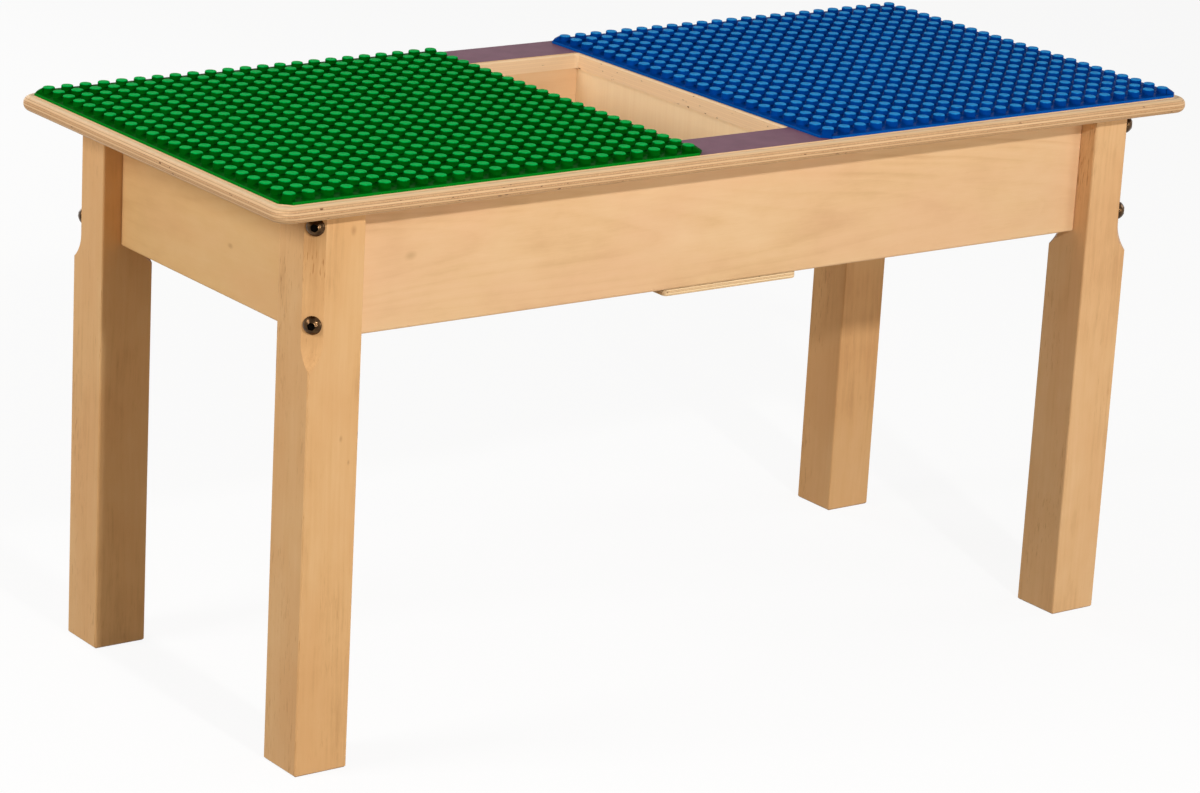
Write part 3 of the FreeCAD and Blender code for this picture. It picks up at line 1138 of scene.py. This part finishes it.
class Shell:
    """Gathers rings of points and the faces between them, and makes one closed mesh of them."""

    POINTS_PER_METRE = 1e7

    def __init__(self) -> None:
        """Start with nothing in it."""
        self.points: list[np.ndarray] = []
        self.faces: list[np.ndarray] = []
        self.slots: list[int] = []
        self.count = 0

    def add_points(self, points: np.ndarray) -> int:
        """Add points.

        Args:
            points: the points, in an array whose last axis is xyz.

        Returns:
            The number of the first of them.
        """
        first = self.count
        self.points.append(np.asarray(points, float).reshape(-1, 3))
        self.count += len(self.points[-1])
        return first

    def add_faces(self, faces: np.ndarray, flip: bool, slot: int) -> None:
        """Add faces of one kind, turned over or not, in a material slot."""
        self.faces.append(faces[:, ::-1] if flip else faces)
        self.slots.append(slot)

    def add_rings(self, rings: np.ndarray, flip: bool = False, cap: bool = False, slot: int = 0) -> None:
        """Add faces between rings that follow each other.

        Args:
            rings: points as (ring, point round the ring, xyz), or with copies in front of these.
            flip: turn the faces over.
            cap: close the last ring with a fan of faces.
            slot: the number of the material that covers them.
        """
        copies = rings if rings.ndim == 4 else rings[None]
        count, ring_count, around, _ = copies.shape
        first = self.add_points(copies)
        index = first + np.arange(count * ring_count * around).reshape(count, ring_count, around)
        here = index[:, :-1]
        after = index[:, 1:]
        quads = np.stack([here, np.roll(here, -1, 2), np.roll(after, -1, 2), after], -1).reshape(-1, 4)
        self.add_faces(quads, flip, slot)
        if cap:
            last = index[:, -1]
            middle = self.add_points(copies[:, -1].mean(1)) + np.arange(count)
            fans = np.stack([last, np.roll(last, -1, 1), np.broadcast_to(middle[:, None], last.shape)], -1)
            self.add_faces(fans.reshape(-1, 3), flip, slot)

    def whole_faces(self, joined: np.ndarray) -> tuple[list[list[int]], list[int]]:
        """Renumber the faces after points that lie on each other are joined, without those that fold up.

        Args:
            joined: the new number of each point.

        Returns:
            The faces, and the material slot of each.
        """
        faces = []
        slots = []
        for group, slot in zip(self.faces, self.slots):
            renumbered = joined[group]
            whole = renumbered[(renumbered != np.roll(renumbered, -1, 1)).all(1)].tolist()
            faces += whole
            slots += [slot] * len(whole)
        return faces, slots

    def mesh(self, name: str, *materials: bpy.types.Material, sharp_from: float = 38.0) -> bpy.types.Mesh:
        """Join the points that lie on each other and make the mesh.

        Args:
            name: the mesh's name.
            materials: what covers it, by slot.
            sharp_from: the angle in degrees from which an edge is shaded as a sharp one.

        Returns:
            The mesh, smooth but for its sharp edges.
        """
        points = np.concatenate(self.points)
        keys = np.round(points * self.POINTS_PER_METRE).astype(np.int64)
        _, kept, joined = np.unique(keys, axis=0, return_index=True, return_inverse=True)
        faces, slots = self.whole_faces(joined.reshape(-1))
        mesh = bpy.data.meshes.new(name)
        mesh.from_pydata(points[kept].tolist(), [], faces)
        for material in materials:
            mesh.materials.append(material)
        mesh.polygons.foreach_set("material_index", slots)
        mesh.shade_smooth()
        mesh.set_sharp_from_angle(angle=math.radians(sharp_from))
        mesh.validate()
        return mesh


def circle(radius: float, count: int) -> np.ndarray:
    """Points round a circle in the xy plane."""
    angles = np.arange(count) * 2 * math.pi / count
    return np.stack([radius * np.cos(angles), radius * np.sin(angles)], -1)


def square(half: float) -> np.ndarray:
    """The corners of a square round the origin, by half of its side."""
    return half * np.array(CORNER_SIGNS, float)


def many_sided(corners: np.ndarray, steps: int) -> np.ndarray:
    """Put points along a closed line of straight runs.

    Args:
        corners: where the runs start, in order.
        steps: the number of points to each run.

    Returns:
        The points.
    """
    share = np.arange(steps)[:, None] / steps
    runs = [start + (end - start) * share for start, end in zip(corners, np.roll(corners, -1, 0))]
    return np.concatenate(runs)


def at_height(flat: np.ndarray, height: float) -> np.ndarray:
    """Flat points lifted to a height."""
    return np.concatenate([flat, np.full((len(flat), 1), height)], 1)


@dataclass
class BlockPlate:
    """A moulded sheet with a grid of hollow studs and a ramp at each clipped corner.

    A name that ends in share gives a part of another size, and one that ends in steps the number of short
    runs in a curve.
    """

    name: str
    node: str
    slot: str
    finish: PlasticFinish
    pitch: float = 16 * MM
    per_side: int = 23
    stud_radius: float = 4.8 * MM
    stud_height: float = 4.6 * MM
    top_round: float = 0.9 * MM
    top_round_steps: int = 5
    draft: float = 0.12 * MM
    dish: float = 0.16 * MM
    dish_shares: tuple[Pair, ...] = ((0.8, 0.25), (0.5, 0.8), (0.2, 1.0))
    foot_round: float = 0.45 * MM
    bore_radius: float = 3.4 * MM
    bore_roof: float = 1.4 * MM
    bore_lead_in: float = 0.3 * MM
    bore_draft: float = 0.1 * MM
    bore_round_height: float = 0.5 * MM
    bore_round_inset: float = 0.6 * MM
    base: float = 2.0 * MM
    rim: float = 3.0 * MM
    clip: float = 8.0 * MM
    clip_margin: float = 1.5 * MM
    clip_steps: int = 2
    edge_bevel: float = 0.6 * MM
    edge_foot: float = 0.15 * MM
    ramp_width: float = 7.6 * MM
    ramp_start: float = 0.9 * MM
    ramp_crest: float = 2.6 * MM
    ramp_foot_height: float = 0.8 * MM
    ramp_foot_inset: float = 0.7 * MM
    ramp_foot_share: float = 0.4
    ramp_sunk_share: float = 0.5
    ramp_bevel: float = 0.5 * MM
    ramp_bevel_steps: int = 4
    around: int = 24

    @property
    def half(self) -> float:
        """Half of the sheet's side."""
        return self.per_side * self.pitch / 2 + self.rim

    @property
    def grid_half(self) -> float:
        """Half of the side of the grid of studs."""
        return self.per_side * self.pitch / 2

    @property
    def per_run(self) -> int:
        """The number of points along one side of the grid of studs."""
        return self.per_side * self.around // 4

    def cell_square(self) -> np.ndarray:
        """The outline of one stud's square, with the point numbers of its circle."""
        return np.roll(many_sided(square(self.pitch / 2), self.around // 4), self.around // 8, 0)

    def stud_profile(self) -> list[Pair]:
        """Draw half of the stud's section.

        Returns:
            Radius and height of the stud's rings, from its foot to the middle of its dished top.
        """
        top = self.base + self.stud_height
        profile = [(self.stud_radius + self.foot_round * (1 - math.sin(turn)),
                    self.base + self.foot_round * (1 - math.cos(turn)))
                   for turn in (0, math.pi / 4, math.pi / 2)]
        narrow = self.stud_radius - self.draft
        for turn in np.linspace(0, math.pi / 2, self.top_round_steps):
            profile.append((narrow - self.top_round * (1 - math.cos(turn)),
                            top - self.top_round * (1 - math.sin(turn))))
        inner = narrow - self.top_round
        profile += [(inner * reach, top - self.dish * depth) for reach, depth in self.dish_shares]
        return profile

    def bore_profile(self) -> list[Pair]:
        """Draw half of the section of the stud's hollow.

        Returns:
            Radius and height of the hollow's rings, from its mouth to its roof.
        """
        roof = self.base + self.stud_height - self.bore_roof
        return [
            (self.bore_radius + self.bore_lead_in, 0.0),
            (self.bore_radius, self.bore_lead_in),
            (self.bore_radius - self.bore_draft, roof - self.bore_round_height),
            (self.bore_radius - self.bore_round_inset, roof),
        ]

    def skins(self, shell: Shell) -> None:
        """Add the studded top and the hollow underside, one square after another.

        Args:
            shell: what they are added to.
        """
        first = -(self.per_side - 1) * self.pitch / 2
        steps = first + np.arange(self.per_side) * self.pitch
        places = np.stack(np.meshgrid(steps, steps, [0.0], indexing="ij"), -1).reshape(-1, 1, 1, 3)
        sides = ((self.base, self.stud_profile(), False), (0.0, self.bore_profile(), True))
        for height, profile, flip in sides:
            rings = [at_height(self.cell_square(), height)]
            rings += [at_height(circle(radius, self.around), level) for radius, level in profile]
            shell.add_rings(self.pulled_in(np.stack(rings)[None] + places), flip=flip, cap=True)

    def pulled_in(self, points: np.ndarray) -> np.ndarray:
        """Move points beyond the clipped corners back along the diagonal.

        Args:
            points: points of the sheet, in an array whose last axis is xyz.

        Returns:
            The points, all of them within the clipped corners.
        """
        limit = 2 * self.half - self.clip - self.clip_margin
        excess = np.maximum(np.abs(points[..., 0]) + np.abs(points[..., 1]) - limit, 0) / 2
        moved = points.copy()
        moved[..., 0] -= np.sign(points[..., 0]) * excess
        moved[..., 1] -= np.sign(points[..., 1]) * excess
        return moved

    def contour(self, inset: float) -> np.ndarray:
        """Draw the sheet's outline, with a point for each point round the grid of squares.

        Args:
            inset: how far the outline is moved in.

        Returns:
            The points of the outline.
        """
        grid = many_sided(square(self.grid_half), self.per_run)
        edge = self.half - inset
        line = grid.copy()
        outer = np.abs(grid) >= self.grid_half - 1e-9
        line[outer] = (np.sign(grid) * edge)[outer]
        clip_end = 2 * self.half - self.clip - inset * math.sqrt(2) - edge
        for corner in range(4):
            middle = corner * self.per_run
            sign = np.sign(grid[middle])
            for step in range(-self.clip_steps, self.clip_steps + 1):
                share = (step + self.clip_steps) / (2 * self.clip_steps)
                point = middle + step if corner % 2 == 0 else middle - step
                line[point % len(line)] = sign * (edge + (clip_end - edge) * share,
                                                  clip_end + (edge - clip_end) * share)
        return line

    def edge(self, shell: Shell) -> None:
        """Add the plain margin round the studs and the sheet's edge with its soft arris.

        Args:
            shell: what they are added to.
        """
        grid = many_sided(square(self.grid_half), self.per_run)
        rings = [
            self.pulled_in(at_height(grid, 0.0)),
            at_height(self.contour(self.edge_foot), 0.0),
            at_height(self.contour(0.0), self.edge_foot),
        ]
        for turn in (0, math.pi / 6, math.pi / 3, math.pi / 2):
            rings.append(at_height(self.contour(self.edge_bevel * (1 - math.cos(turn))),
                                   self.base - self.edge_bevel * (1 - math.sin(turn))))
        rings.append(self.pulled_in(at_height(grid, self.base)))
        shell.add_rings(np.stack(rings))

    def ramp_section(self, out: float, high: float, soft: float) -> list[Triple]:
        """Draw one section across a ramp.

        Args:
            out: how far it lies from the middle of the stud.
            high: the height of its top.
            soft: how much narrower it is on each side.

        Returns:
            Its points, as places out from the stud, across the ramp and up.
        """
        low = self.base * self.ramp_sunk_share
        wide = self.ramp_width / 2 - soft
        arc = [(wide - self.ramp_bevel * (1 - math.cos(turn)), high - self.ramp_bevel * (1 - math.sin(turn)))
               for turn in np.linspace(0, math.pi / 2, self.ramp_bevel_steps)]
        section = [(wide, low)] + arc + [(-across, up) for across, up in reversed(arc)] + [(-wide, low)]
        return [(out, across, up) for across, up in section]

    def ramp(self, shell: Shell, sign_x: int, sign_y: int) -> None:
        """Add the ramp from one corner stud down to the clipped corner.

        Args:
            shell: what it is added to.
            sign_x: on which side of the sheet the corner lies in x, -1 or 1.
            sign_y: on which side of the sheet the corner lies in y, -1 or 1.
        """
        stud = self.half - self.rim - self.pitch / 2
        top = self.base + self.stud_height
        reach = (self.half - stud) * math.sqrt(2) - self.clip / math.sqrt(2) - self.ramp_foot_inset
        foot = self.base + self.ramp_foot_height
        start = self.stud_radius - self.ramp_start
        slope = (top - foot) / (reach - self.ramp_crest)
        points = np.array([
            self.ramp_section(start, top - slope * (start - self.ramp_crest), 0.0),
            self.ramp_section(reach - self.ramp_bevel, foot + slope * self.ramp_bevel, 0.0),
            self.ramp_section(reach, foot - self.ramp_bevel * self.ramp_foot_share, self.ramp_bevel),
        ])
        outward = np.array([sign_x, sign_y]) / math.sqrt(2)
        sideways = np.array([-sign_y, sign_x]) / math.sqrt(2)
        flat = np.array([sign_x, sign_y]) * stud + points[..., :1] * outward + points[..., 1:2] * sideways
        placed = np.concatenate([flat, points[..., 2:]], -1)
        shell.add_rings(placed[:1], flip=True, cap=True)
        shell.add_rings(placed, cap=True)

    def build(self) -> None:
        """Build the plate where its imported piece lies."""
        shell = Shell()
        self.skins(shell)
        self.edge(shell)
        for sign_x, sign_y in CORNER_SIGNS:
            self.ramp(shell, sign_x, sign_y)
        low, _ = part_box(self.node)
        centre = middle_of(self.node)
        mesh = shell.mesh(self.name, self.finish.material(self.slot, centre, self.half))
        mesh.transform(Matrix.Translation((centre.x, centre.y, low.z)))
        add_piece(self.name, mesh, self.slot, self.node)


@dataclass
class LegBolts:
    """Eight dome-head bolts with hexagon sockets, their ends threaded for the nuts.

    A name that ends in share gives a part of another size, and one that ends in steps the number of rings in
    a curve or along the thread.
    """

    name: str = "dome_head_bolts"
    node: str = "leg_bolts"
    slot: str = "bronzed_steel"
    finish: MetalFinish = BRONZED_STEEL
    # near-black metal of the sockets, painted shade for their recess
    socket_shade_finish: MetalFinish = SOCKET_SHADE_STEEL
    corner_x: float = 397 * MM
    corner_y: float = 173.5 * MM
    seat: float = 5.75 * MM
    heights: Pair = (420 * MM, 347 * MM)
    head_radius: float = 7 * MM
    head_height: float = 4.6 * MM
    dome_from_share: float = 0.5
    dome_to_share: float = 0.97
    dome_steps: int = 8
    rim_height: float = 0.8 * MM
    rim_share: float = 0.8
    seat_bevel: float = 0.2 * MM
    fillet: float = 0.3 * MM
    socket_width: float = 5 * MM
    socket_depth: float = 2.6 * MM
    socket_sides: int = 6
    socket_bevel: float = 0.25 * MM
    socket_bevel_share: float = 1.6
    socket_floor_inset: float = 1.2 * MM
    socket_floor_dip: float = 0.3 * MM
    shank_radius: float = 4 * MM
    length: float = 85.4 * MM
    end_cut: float = 0.5 * MM
    end_cut_steps: int = 6
    thread_length: float = 20 * MM
    thread_pitch: float = 1.25 * MM
    thread_depth: float = 0.6 * MM
    thread_steps: int = 8
    thread_ease_steps: int = 12
    groove_width: float = 1.3
    groove_slope: float = 3.2
    around: int = 24
    sharp_from: float = 34.0
    seed: int = 7

    def dome_height(self, radius: float) -> float:
        """Find how far the dome stands out from the seat.

        Args:
            radius: the distance from the bolt's axis.

        Returns:
            The height over the seat.
        """
        dome = self.head_height - self.rim_height
        ball = (self.head_radius ** 2 + dome ** 2) / (2 * dome)
        return self.head_height - ball + math.sqrt(ball ** 2 - radius ** 2)

    def hexagon(self, grow: float) -> np.ndarray:
        """The socket's outline, larger by an amount all round."""
        radius = (self.socket_width / 2 + grow) / math.cos(math.pi / self.socket_sides)
        return many_sided(circle(radius, self.socket_sides), self.around // self.socket_sides)

    def head_rings(self) -> list[np.ndarray]:
        """Draw the socket and the head, down to the top of the shank.

        Returns:
            The rings, from the socket's floor on.
        """
        opening = self.dome_height(self.socket_width / 2)
        floor = self.head_height - self.socket_depth
        rings = [
            at_height(self.hexagon(-self.socket_floor_inset), -floor + self.socket_floor_dip),
            at_height(self.hexagon(0.0), -floor),
            at_height(self.hexagon(0.0), -opening + self.socket_bevel * self.socket_bevel_share),
            at_height(self.hexagon(self.socket_bevel), -opening),
        ]
        for share in np.linspace(self.dome_from_share, self.dome_to_share, self.dome_steps):
            radius = self.head_radius * share
            rings.append(at_height(circle(radius, self.around), -self.dome_height(radius)))
        rim = (
            (self.head_radius, -self.rim_height * self.rim_share),
            (self.head_radius, -self.seat_bevel),
            (self.head_radius - self.seat_bevel, 0.0),
            (self.shank_radius + self.fillet, 0.0),
            (self.shank_radius, self.fillet),
        )
        rings += [at_height(circle(radius, self.around), height) for radius, height in rim]
        return rings

    def thread_rings(self) -> list[np.ndarray]:
        """Draw the thread, which starts gently and ends in a small bevel.

        Returns:
            The rings, from the plain shank to the bolt's end.
        """
        start = self.length - self.thread_length
        turn = np.arange(self.around) / self.around
        steps = int(round(self.thread_length / self.thread_pitch * self.thread_steps))
        rings = []
        for step in range(steps + 1):
            height = start + step * self.thread_length / steps
            phase = (height / self.thread_pitch - turn) % 1
            groove = np.clip(self.groove_width - np.abs(phase - HALF) * self.groove_slope, 0, 1)
            groove = groove * self.thread_depth
            ease = min(1.0, step / self.thread_ease_steps)
            cut = max(0.0, 1.0 - (steps - step) / self.end_cut_steps) * self.end_cut
            radius = self.shank_radius - groove * ease - cut * (1 - groove / self.thread_depth)
            rings.append(at_height(circle(1.0, self.around) * radius[:, None], height))
        return rings

    def build(self) -> None:
        """Build the eight bolts, their sockets turned at random."""
        chance = random.Random(self.seed)
        shell = Shell()
        rings = np.stack(self.head_rings() + self.thread_rings())
        for sign_x in (-1, 1):
            for sign_y in (-1, 1):
                axis = Vector((-sign_x, -sign_y, 0)).normalized()
                inward = axis.to_track_quat("Z", "Y").to_matrix().to_4x4()
                seat_x = sign_x * (self.corner_x - self.seat)
                seat_y = sign_y * (self.corner_y - self.seat)
                for height in self.heights:
                    place = (seat_x, seat_y, height)
                    turn = Matrix.Rotation(chance.uniform(0, math.pi / 3), 4, "Z")
                    matrix = np.array(Matrix.Translation(place) @ inward @ turn)
                    placed = rings @ matrix[:3, :3].T + matrix[:3, 3]
                    # slot 1 covers the socket's floor and walls with its painted shade
                    shell.add_rings(placed[:1], cap=True, slot=1)
                    shell.add_rings(placed[:3], flip=True, slot=1)
                    shell.add_rings(placed[2:], flip=True, cap=True)
        metal = self.finish.material(self.slot)
        dark = self.socket_shade_finish.material(self.slot + "_socket_shade")
        mesh = shell.mesh(self.name, metal, dark, sharp_from=self.sharp_from)
        add_piece(self.name, mesh, self.slot, self.node)


@dataclass
class SmallHardware:
    """The washers, nuts and wood screws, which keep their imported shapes."""

    nodes: tuple[str, ...] = ("bolt_washers", "bolt_nuts", "corner_block_screws", "top_screws",
                              "well_screws")
    slot: str = "zinc_steel"
    finish: MetalFinish = ZINC_STEEL

    def build(self) -> None:
        """Dress them all in one material."""
        material = self.finish.material(self.slot)
        for node in self.nodes:
            dress(node, material)


@dataclass
class TableTop:
    """The plywood board with its round edge, and the laminate on it."""

    board: str = "table_top"
    sheet: str = "top_laminate"
    plies: int = 7
    plain: Pair = (62 * MM, 147 * MM)
    seed: float = 3.0

    def build(self) -> None:
        """Dress the board and the sheet."""
        low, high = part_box(self.board)
        finish = PlywoodFinish(Axis.Z, low.z, high.z - low.z, self.plies, Axis.X, self.seed,
                               plain=self.plain)
        dress(self.board, finish.material("top_plywood"))
        dress(self.sheet, LaminateFinish().material("purple_laminate"))


@dataclass
class StorageWell:
    """The two side walls and the bottom board of the well under the top."""

    walls: tuple[str, str] = ("well_left_wall", "well_right_wall")
    wall_seeds: Pair = (11.0, 17.0)
    wall_plies: int = 5
    bottom: str = "well_bottom_board"
    bottom_seed: float = 23.0
    bottom_plies: int = 5
    pale: Colour = srgb(252, 225, 181)
    pale_dark: Colour = srgb(243, 211, 165)
    bottom_end: Colour = srgb(240, 207, 163)
    bottom_end_dark: Colour = srgb(222, 184, 138)

    def build(self) -> None:
        """Dress the three boards."""
        for wall, seed in zip(self.walls, self.wall_seeds):
            low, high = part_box(wall)
            finish = PlywoodFinish(Axis.X, low.x, high.x - low.x, self.wall_plies, Axis.Z, seed,
                                   side=self.pale, side_dark=self.pale_dark)
            dress(wall, finish.material(wall + "_plywood"))
        low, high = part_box(self.bottom)
        finish = PlywoodFinish(Axis.Z, low.z, high.z - low.z, self.bottom_plies, Axis.Y, self.bottom_seed,
                               side=self.pale, side_dark=self.pale_dark,
                               end=self.bottom_end, end_dark=self.bottom_end_dark)
        dress(self.bottom, finish.material("well_bottom_plywood"))


@dataclass
class BaseFrame:
    """Legs, aprons and corner blocks of solid maple, each board cut from its own part of a trunk."""

    leg_ring_depth: float = 0.08
    leg_fleck_depth: float = 0.26
    leg_streak_depth: float = 0.30
    # painted shade on the legs' corner cuts
    leg_cut_shade_depth: float = 0.13
    block_pith: Pair = (0.05, 0.04)
    block_lean: Pair = (0.02, 0.02)
    block_seeds: tuple[float, ...] = (57.0, 64.0, 71.0, 78.0)

    def aprons(self) -> dict[str, MapleFinish]:
        """Choose the aprons' finishes.

        Returns:
            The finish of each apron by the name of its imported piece.
        """
        front_knot = Knot(3 * MM, -9.5 * MM, -302 * MM, size=4.4 * MM, darkness=0.3)
        left_knot = Knot(-10 * MM, -9.5 * MM, -35 * MM, size=3.2 * MM, darkness=0.4)
        return {
            "front_apron": MapleFinish(APRON_TONE, Axis.X, Axis.Y, pith=(0.010, 0.046), lean=(0.055, 0.06),
                                       seed=1.0, knots=(front_knot,)),
            "back_apron": MapleFinish(BACK_TONE, Axis.X, Axis.Y, pith=(-0.018, -0.060), lean=(-0.01, 0.05),
                                      seed=8.0),
            "left_apron": MapleFinish(RAIL_TONE, Axis.Y, Axis.X, pith=(0.02, 0.070), lean=(0.06, 0.05),
                                      seed=15.0, knots=(left_knot,)),
            "right_apron": MapleFinish(APRON_TONE, Axis.Y, Axis.X, pith=(-0.03, -0.060), lean=(0.02, -0.05),
                                       seed=22.0),
        }

    def leg(self, tone: MapleTone, pith: Pair, lean: Pair, seed: float, *knots: Knot) -> MapleFinish:
        """Choose the finish of one leg.

        Args:
            tone: the colours of its wood.
            pith: where the trunk's pith lies from its centre, across and through it.
            lean: how far the pith moves in these directions for each metre along it.
            seed: where its own noise starts.
            knots: its pin knots.

        Returns:
            The finish.
        """
        return MapleFinish(tone, Axis.Z, Axis.Y, pith, lean, seed, knots, ring_depth=self.leg_ring_depth,
                           fleck_depth=self.leg_fleck_depth, streak_depth=self.leg_streak_depth,
                           cut_shade_depth=self.leg_cut_shade_depth)

    def legs(self) -> dict[Corner, MapleFinish]:
        """Choose the legs' finishes.

        Returns:
            The finish of each leg by its corner.
        """
        knots = (
            Knot(8.5 * MM, -22.5 * MM, 44 * MM, size=2.2 * MM, darkness=0.38),
            Knot(16.5 * MM, -22.5 * MM, 25 * MM, size=1.8 * MM, darkness=0.38),
            Knot(11.5 * MM, -22.5 * MM, 200 * MM, size=3.4 * MM, darkness=0.38),
        )
        return {
            Corner.FRONT_LEFT: self.leg(LEG_TONE, (0.050, 0.045), (0.012, 0.01), 31.5, *knots),
            Corner.FRONT_RIGHT: self.leg(PALE_LEG_TONE, (-0.045, 0.055), (0.01, -0.02), 36.0),
            Corner.BACK_RIGHT: self.leg(FAR_LEG_TONE, (0.060, -0.035), (-0.015, 0.01), 43.0),
            Corner.BACK_LEFT: self.leg(LEG_TONE, (-0.055, -0.050), (0.01, 0.02), 50.0),
        }

    def boards(self) -> dict[str, MapleFinish]:
        """Gather the finishes of all the boards.

        Returns:
            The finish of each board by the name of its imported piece.
        """
        boards = self.aprons()
        for corner, finish in self.legs().items():
            boards["leg_" + corner.value] = finish
        for corner, seed in zip(Corner, self.block_seeds):
            boards["corner_block_" + corner.value] = MapleFinish(BLOCK_TONE, Axis.Z, Axis.Y, self.block_pith,
                                                                 self.block_lean, seed)
        return boards

    def build(self) -> None:
        """Dress each board."""
        for node, finish in self.boards().items():
            dress(node, finish.material(node + "_maple", middle_of(node)))


@dataclass(frozen=True)
class Lamp:
    """A soft box with its place, width, power in watts and the point that it faces.

    One with no height of its own is square.
    """

    name: str
    place: Triple
    width: float
    power: float
    target: Triple = (0.0, 0.0, 0.30)
    height: float = 0.0

    def build(self) -> None:
        """Put the lamp in the scene."""
        light = bpy.data.lights.new(self.name, "AREA")
        light.energy = self.power
        light.shape = "RECTANGLE"
        light.size = self.width
        light.size_y = self.height or self.width
        lamp = bpy.data.objects.new(self.name, light)
        lamp.visible_camera = False
        bpy.context.scene.collection.objects.link(lamp)
        direction = Vector(self.target) - Vector(self.place)
        turn = direction.to_track_quat("-Z", "Y").to_matrix().to_4x4()
        lamp.matrix_world = Matrix.Translation(self.place) @ turn


@dataclass
class Studio:
    """The camera, the lamps, the white surroundings and the floor."""

    camera_place: Triple = (-1.9169, -2.5681, 1.1803)
    camera_right: Triple = (0.8108, -0.5829, 0.0529)
    camera_up: Triple = (0.1312, 0.2691, 0.9541)
    focal_length: float = 123.7
    sensor_width: float = 36.0
    view_reach: float = 60.0
    floor_side: float = 30.0
    floor_colour: float = 0.95
    floor_bounce: Colour = (0.40, 0.345, 0.26, 1.0)
    floor_glow: float = 0.90
    fill_level: float = 0.20
    fill_tint: Colour = (1.0, 0.93, 0.82, 1.0)
    lamps: tuple[Lamp, ...] = (
        Lamp("key_lamp", (-0.40, -2.43, 1.63), width=0.11, power=34.5),
        Lamp("strip_lamp", (-0.385, -2.5, 0.55), width=0.10, power=11.0, target=(-0.2, 0.0, 0.30),
             height=0.9),
        Lamp("soft_box_left", (-2.2, 0.25, 1.35), width=0.8, power=27.0),
        Lamp("soft_box_low", (1.6, -2.2, 0.60), width=0.8, power=9.5),
        Lamp("soft_box_right", (2.3, -0.5, 1.1), width=0.8, power=8.0),
        Lamp("soft_box_back", (-0.3, 2.6, 1.1), width=1.2, power=19.0),
    )

    def camera(self) -> None:
        """Place the camera at the photograph's angle."""
        data = bpy.data.cameras.new("camera")
        data.lens = self.focal_length
        data.sensor_width = self.sensor_width
        data.clip_end = self.view_reach
        camera = bpy.data.objects.new("camera", data)
        bpy.context.scene.collection.objects.link(camera)
        right = Vector(self.camera_right).normalized()
        back = right.cross(Vector(self.camera_up)).normalized()
        up = back.cross(right)
        turn = Matrix((right, up, back)).transposed().to_4x4()
        camera.matrix_world = Matrix.Translation(self.camera_place) @ turn
        bpy.context.scene.camera = camera

    def surroundings(self) -> None:
        """Add a plain, faintly warm fill of light all round, which shows as white."""
        world = bpy.data.worlds.new("surroundings")
        world.use_nodes = True
        bpy.context.scene.world = world
        graph = Graph(world.node_tree)
        background = graph.nodes["Background"]
        seen = graph.seen()
        graph.feed(background.inputs["Color"], graph.mix(seen, self.fill_tint, WHITE))
        graph.feed(background.inputs["Strength"], graph.remap(seen, 0.0, 1.0, self.fill_level, 1.0))

    def floor(self) -> None:
        """Add a plain pale floor that keeps the table's shadow."""
        mesh = bpy.data.meshes.new("floor")
        corners = at_height(np.roll(square(self.floor_side / 2), 2, 0), 0.0).tolist()
        mesh.from_pydata(corners, [], [(0, 1, 2, 3)])
        material = bpy.data.materials.new("floor")
        material.use_nodes = True
        graph = Graph(material.node_tree)
        graph.nodes.remove(graph.nodes["Principled BSDF"])
        seen = graph.seen()
        matt = graph.add("ShaderNodeBsdfDiffuse")
        graph.feed(matt.inputs["Color"], graph.mix(seen, self.floor_bounce, grey(self.floor_colour)))
        glow = graph.add("ShaderNodeEmission")
        graph.feed(glow.inputs["Strength"], 1.0)
        both = graph.add("ShaderNodeMixShader")
        share = graph.math(Sum.TIMES, seen, self.floor_glow)
        for socket, value in zip(both.inputs, (share, matt.outputs[0], glow.outputs[0])):
            graph.feed(socket, value)
        graph.feed(graph.nodes["Material Output"].inputs["Surface"], both.outputs[0])
        mesh.materials.append(material)
        floor = bpy.data.objects.new("floor", mesh)
        bpy.context.scene.collection.objects.link(floor)

    def build(self) -> None:
        """Set up all of it."""
        bpy.context.scene.view_settings.view_transform = "Standard"
        self.camera()
        self.surroundings()
        self.floor()
        for lamp in self.lamps:
            lamp.build()
        LOG.info("the studio is set up with %d lamps", len(self.lamps))


def main() -> None:
    """Build the parts of the table in order."""
    logging.basicConfig(level=logging.INFO, format="%(message)s")
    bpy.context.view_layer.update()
    Studio().build()
    BaseFrame().build()
    TableTop().build()
    StorageWell().build()
    BlockPlate("green_studded_plate", "green_block_plate", "green_plastic", GREEN_PLASTIC).build()
    BlockPlate("blue_studded_plate", "blue_block_plate", "blue_plastic", BLUE_PLASTIC).build()
    LegBolts().build()
    SmallHardware().build()


if __name__ == "__main__":
    main()
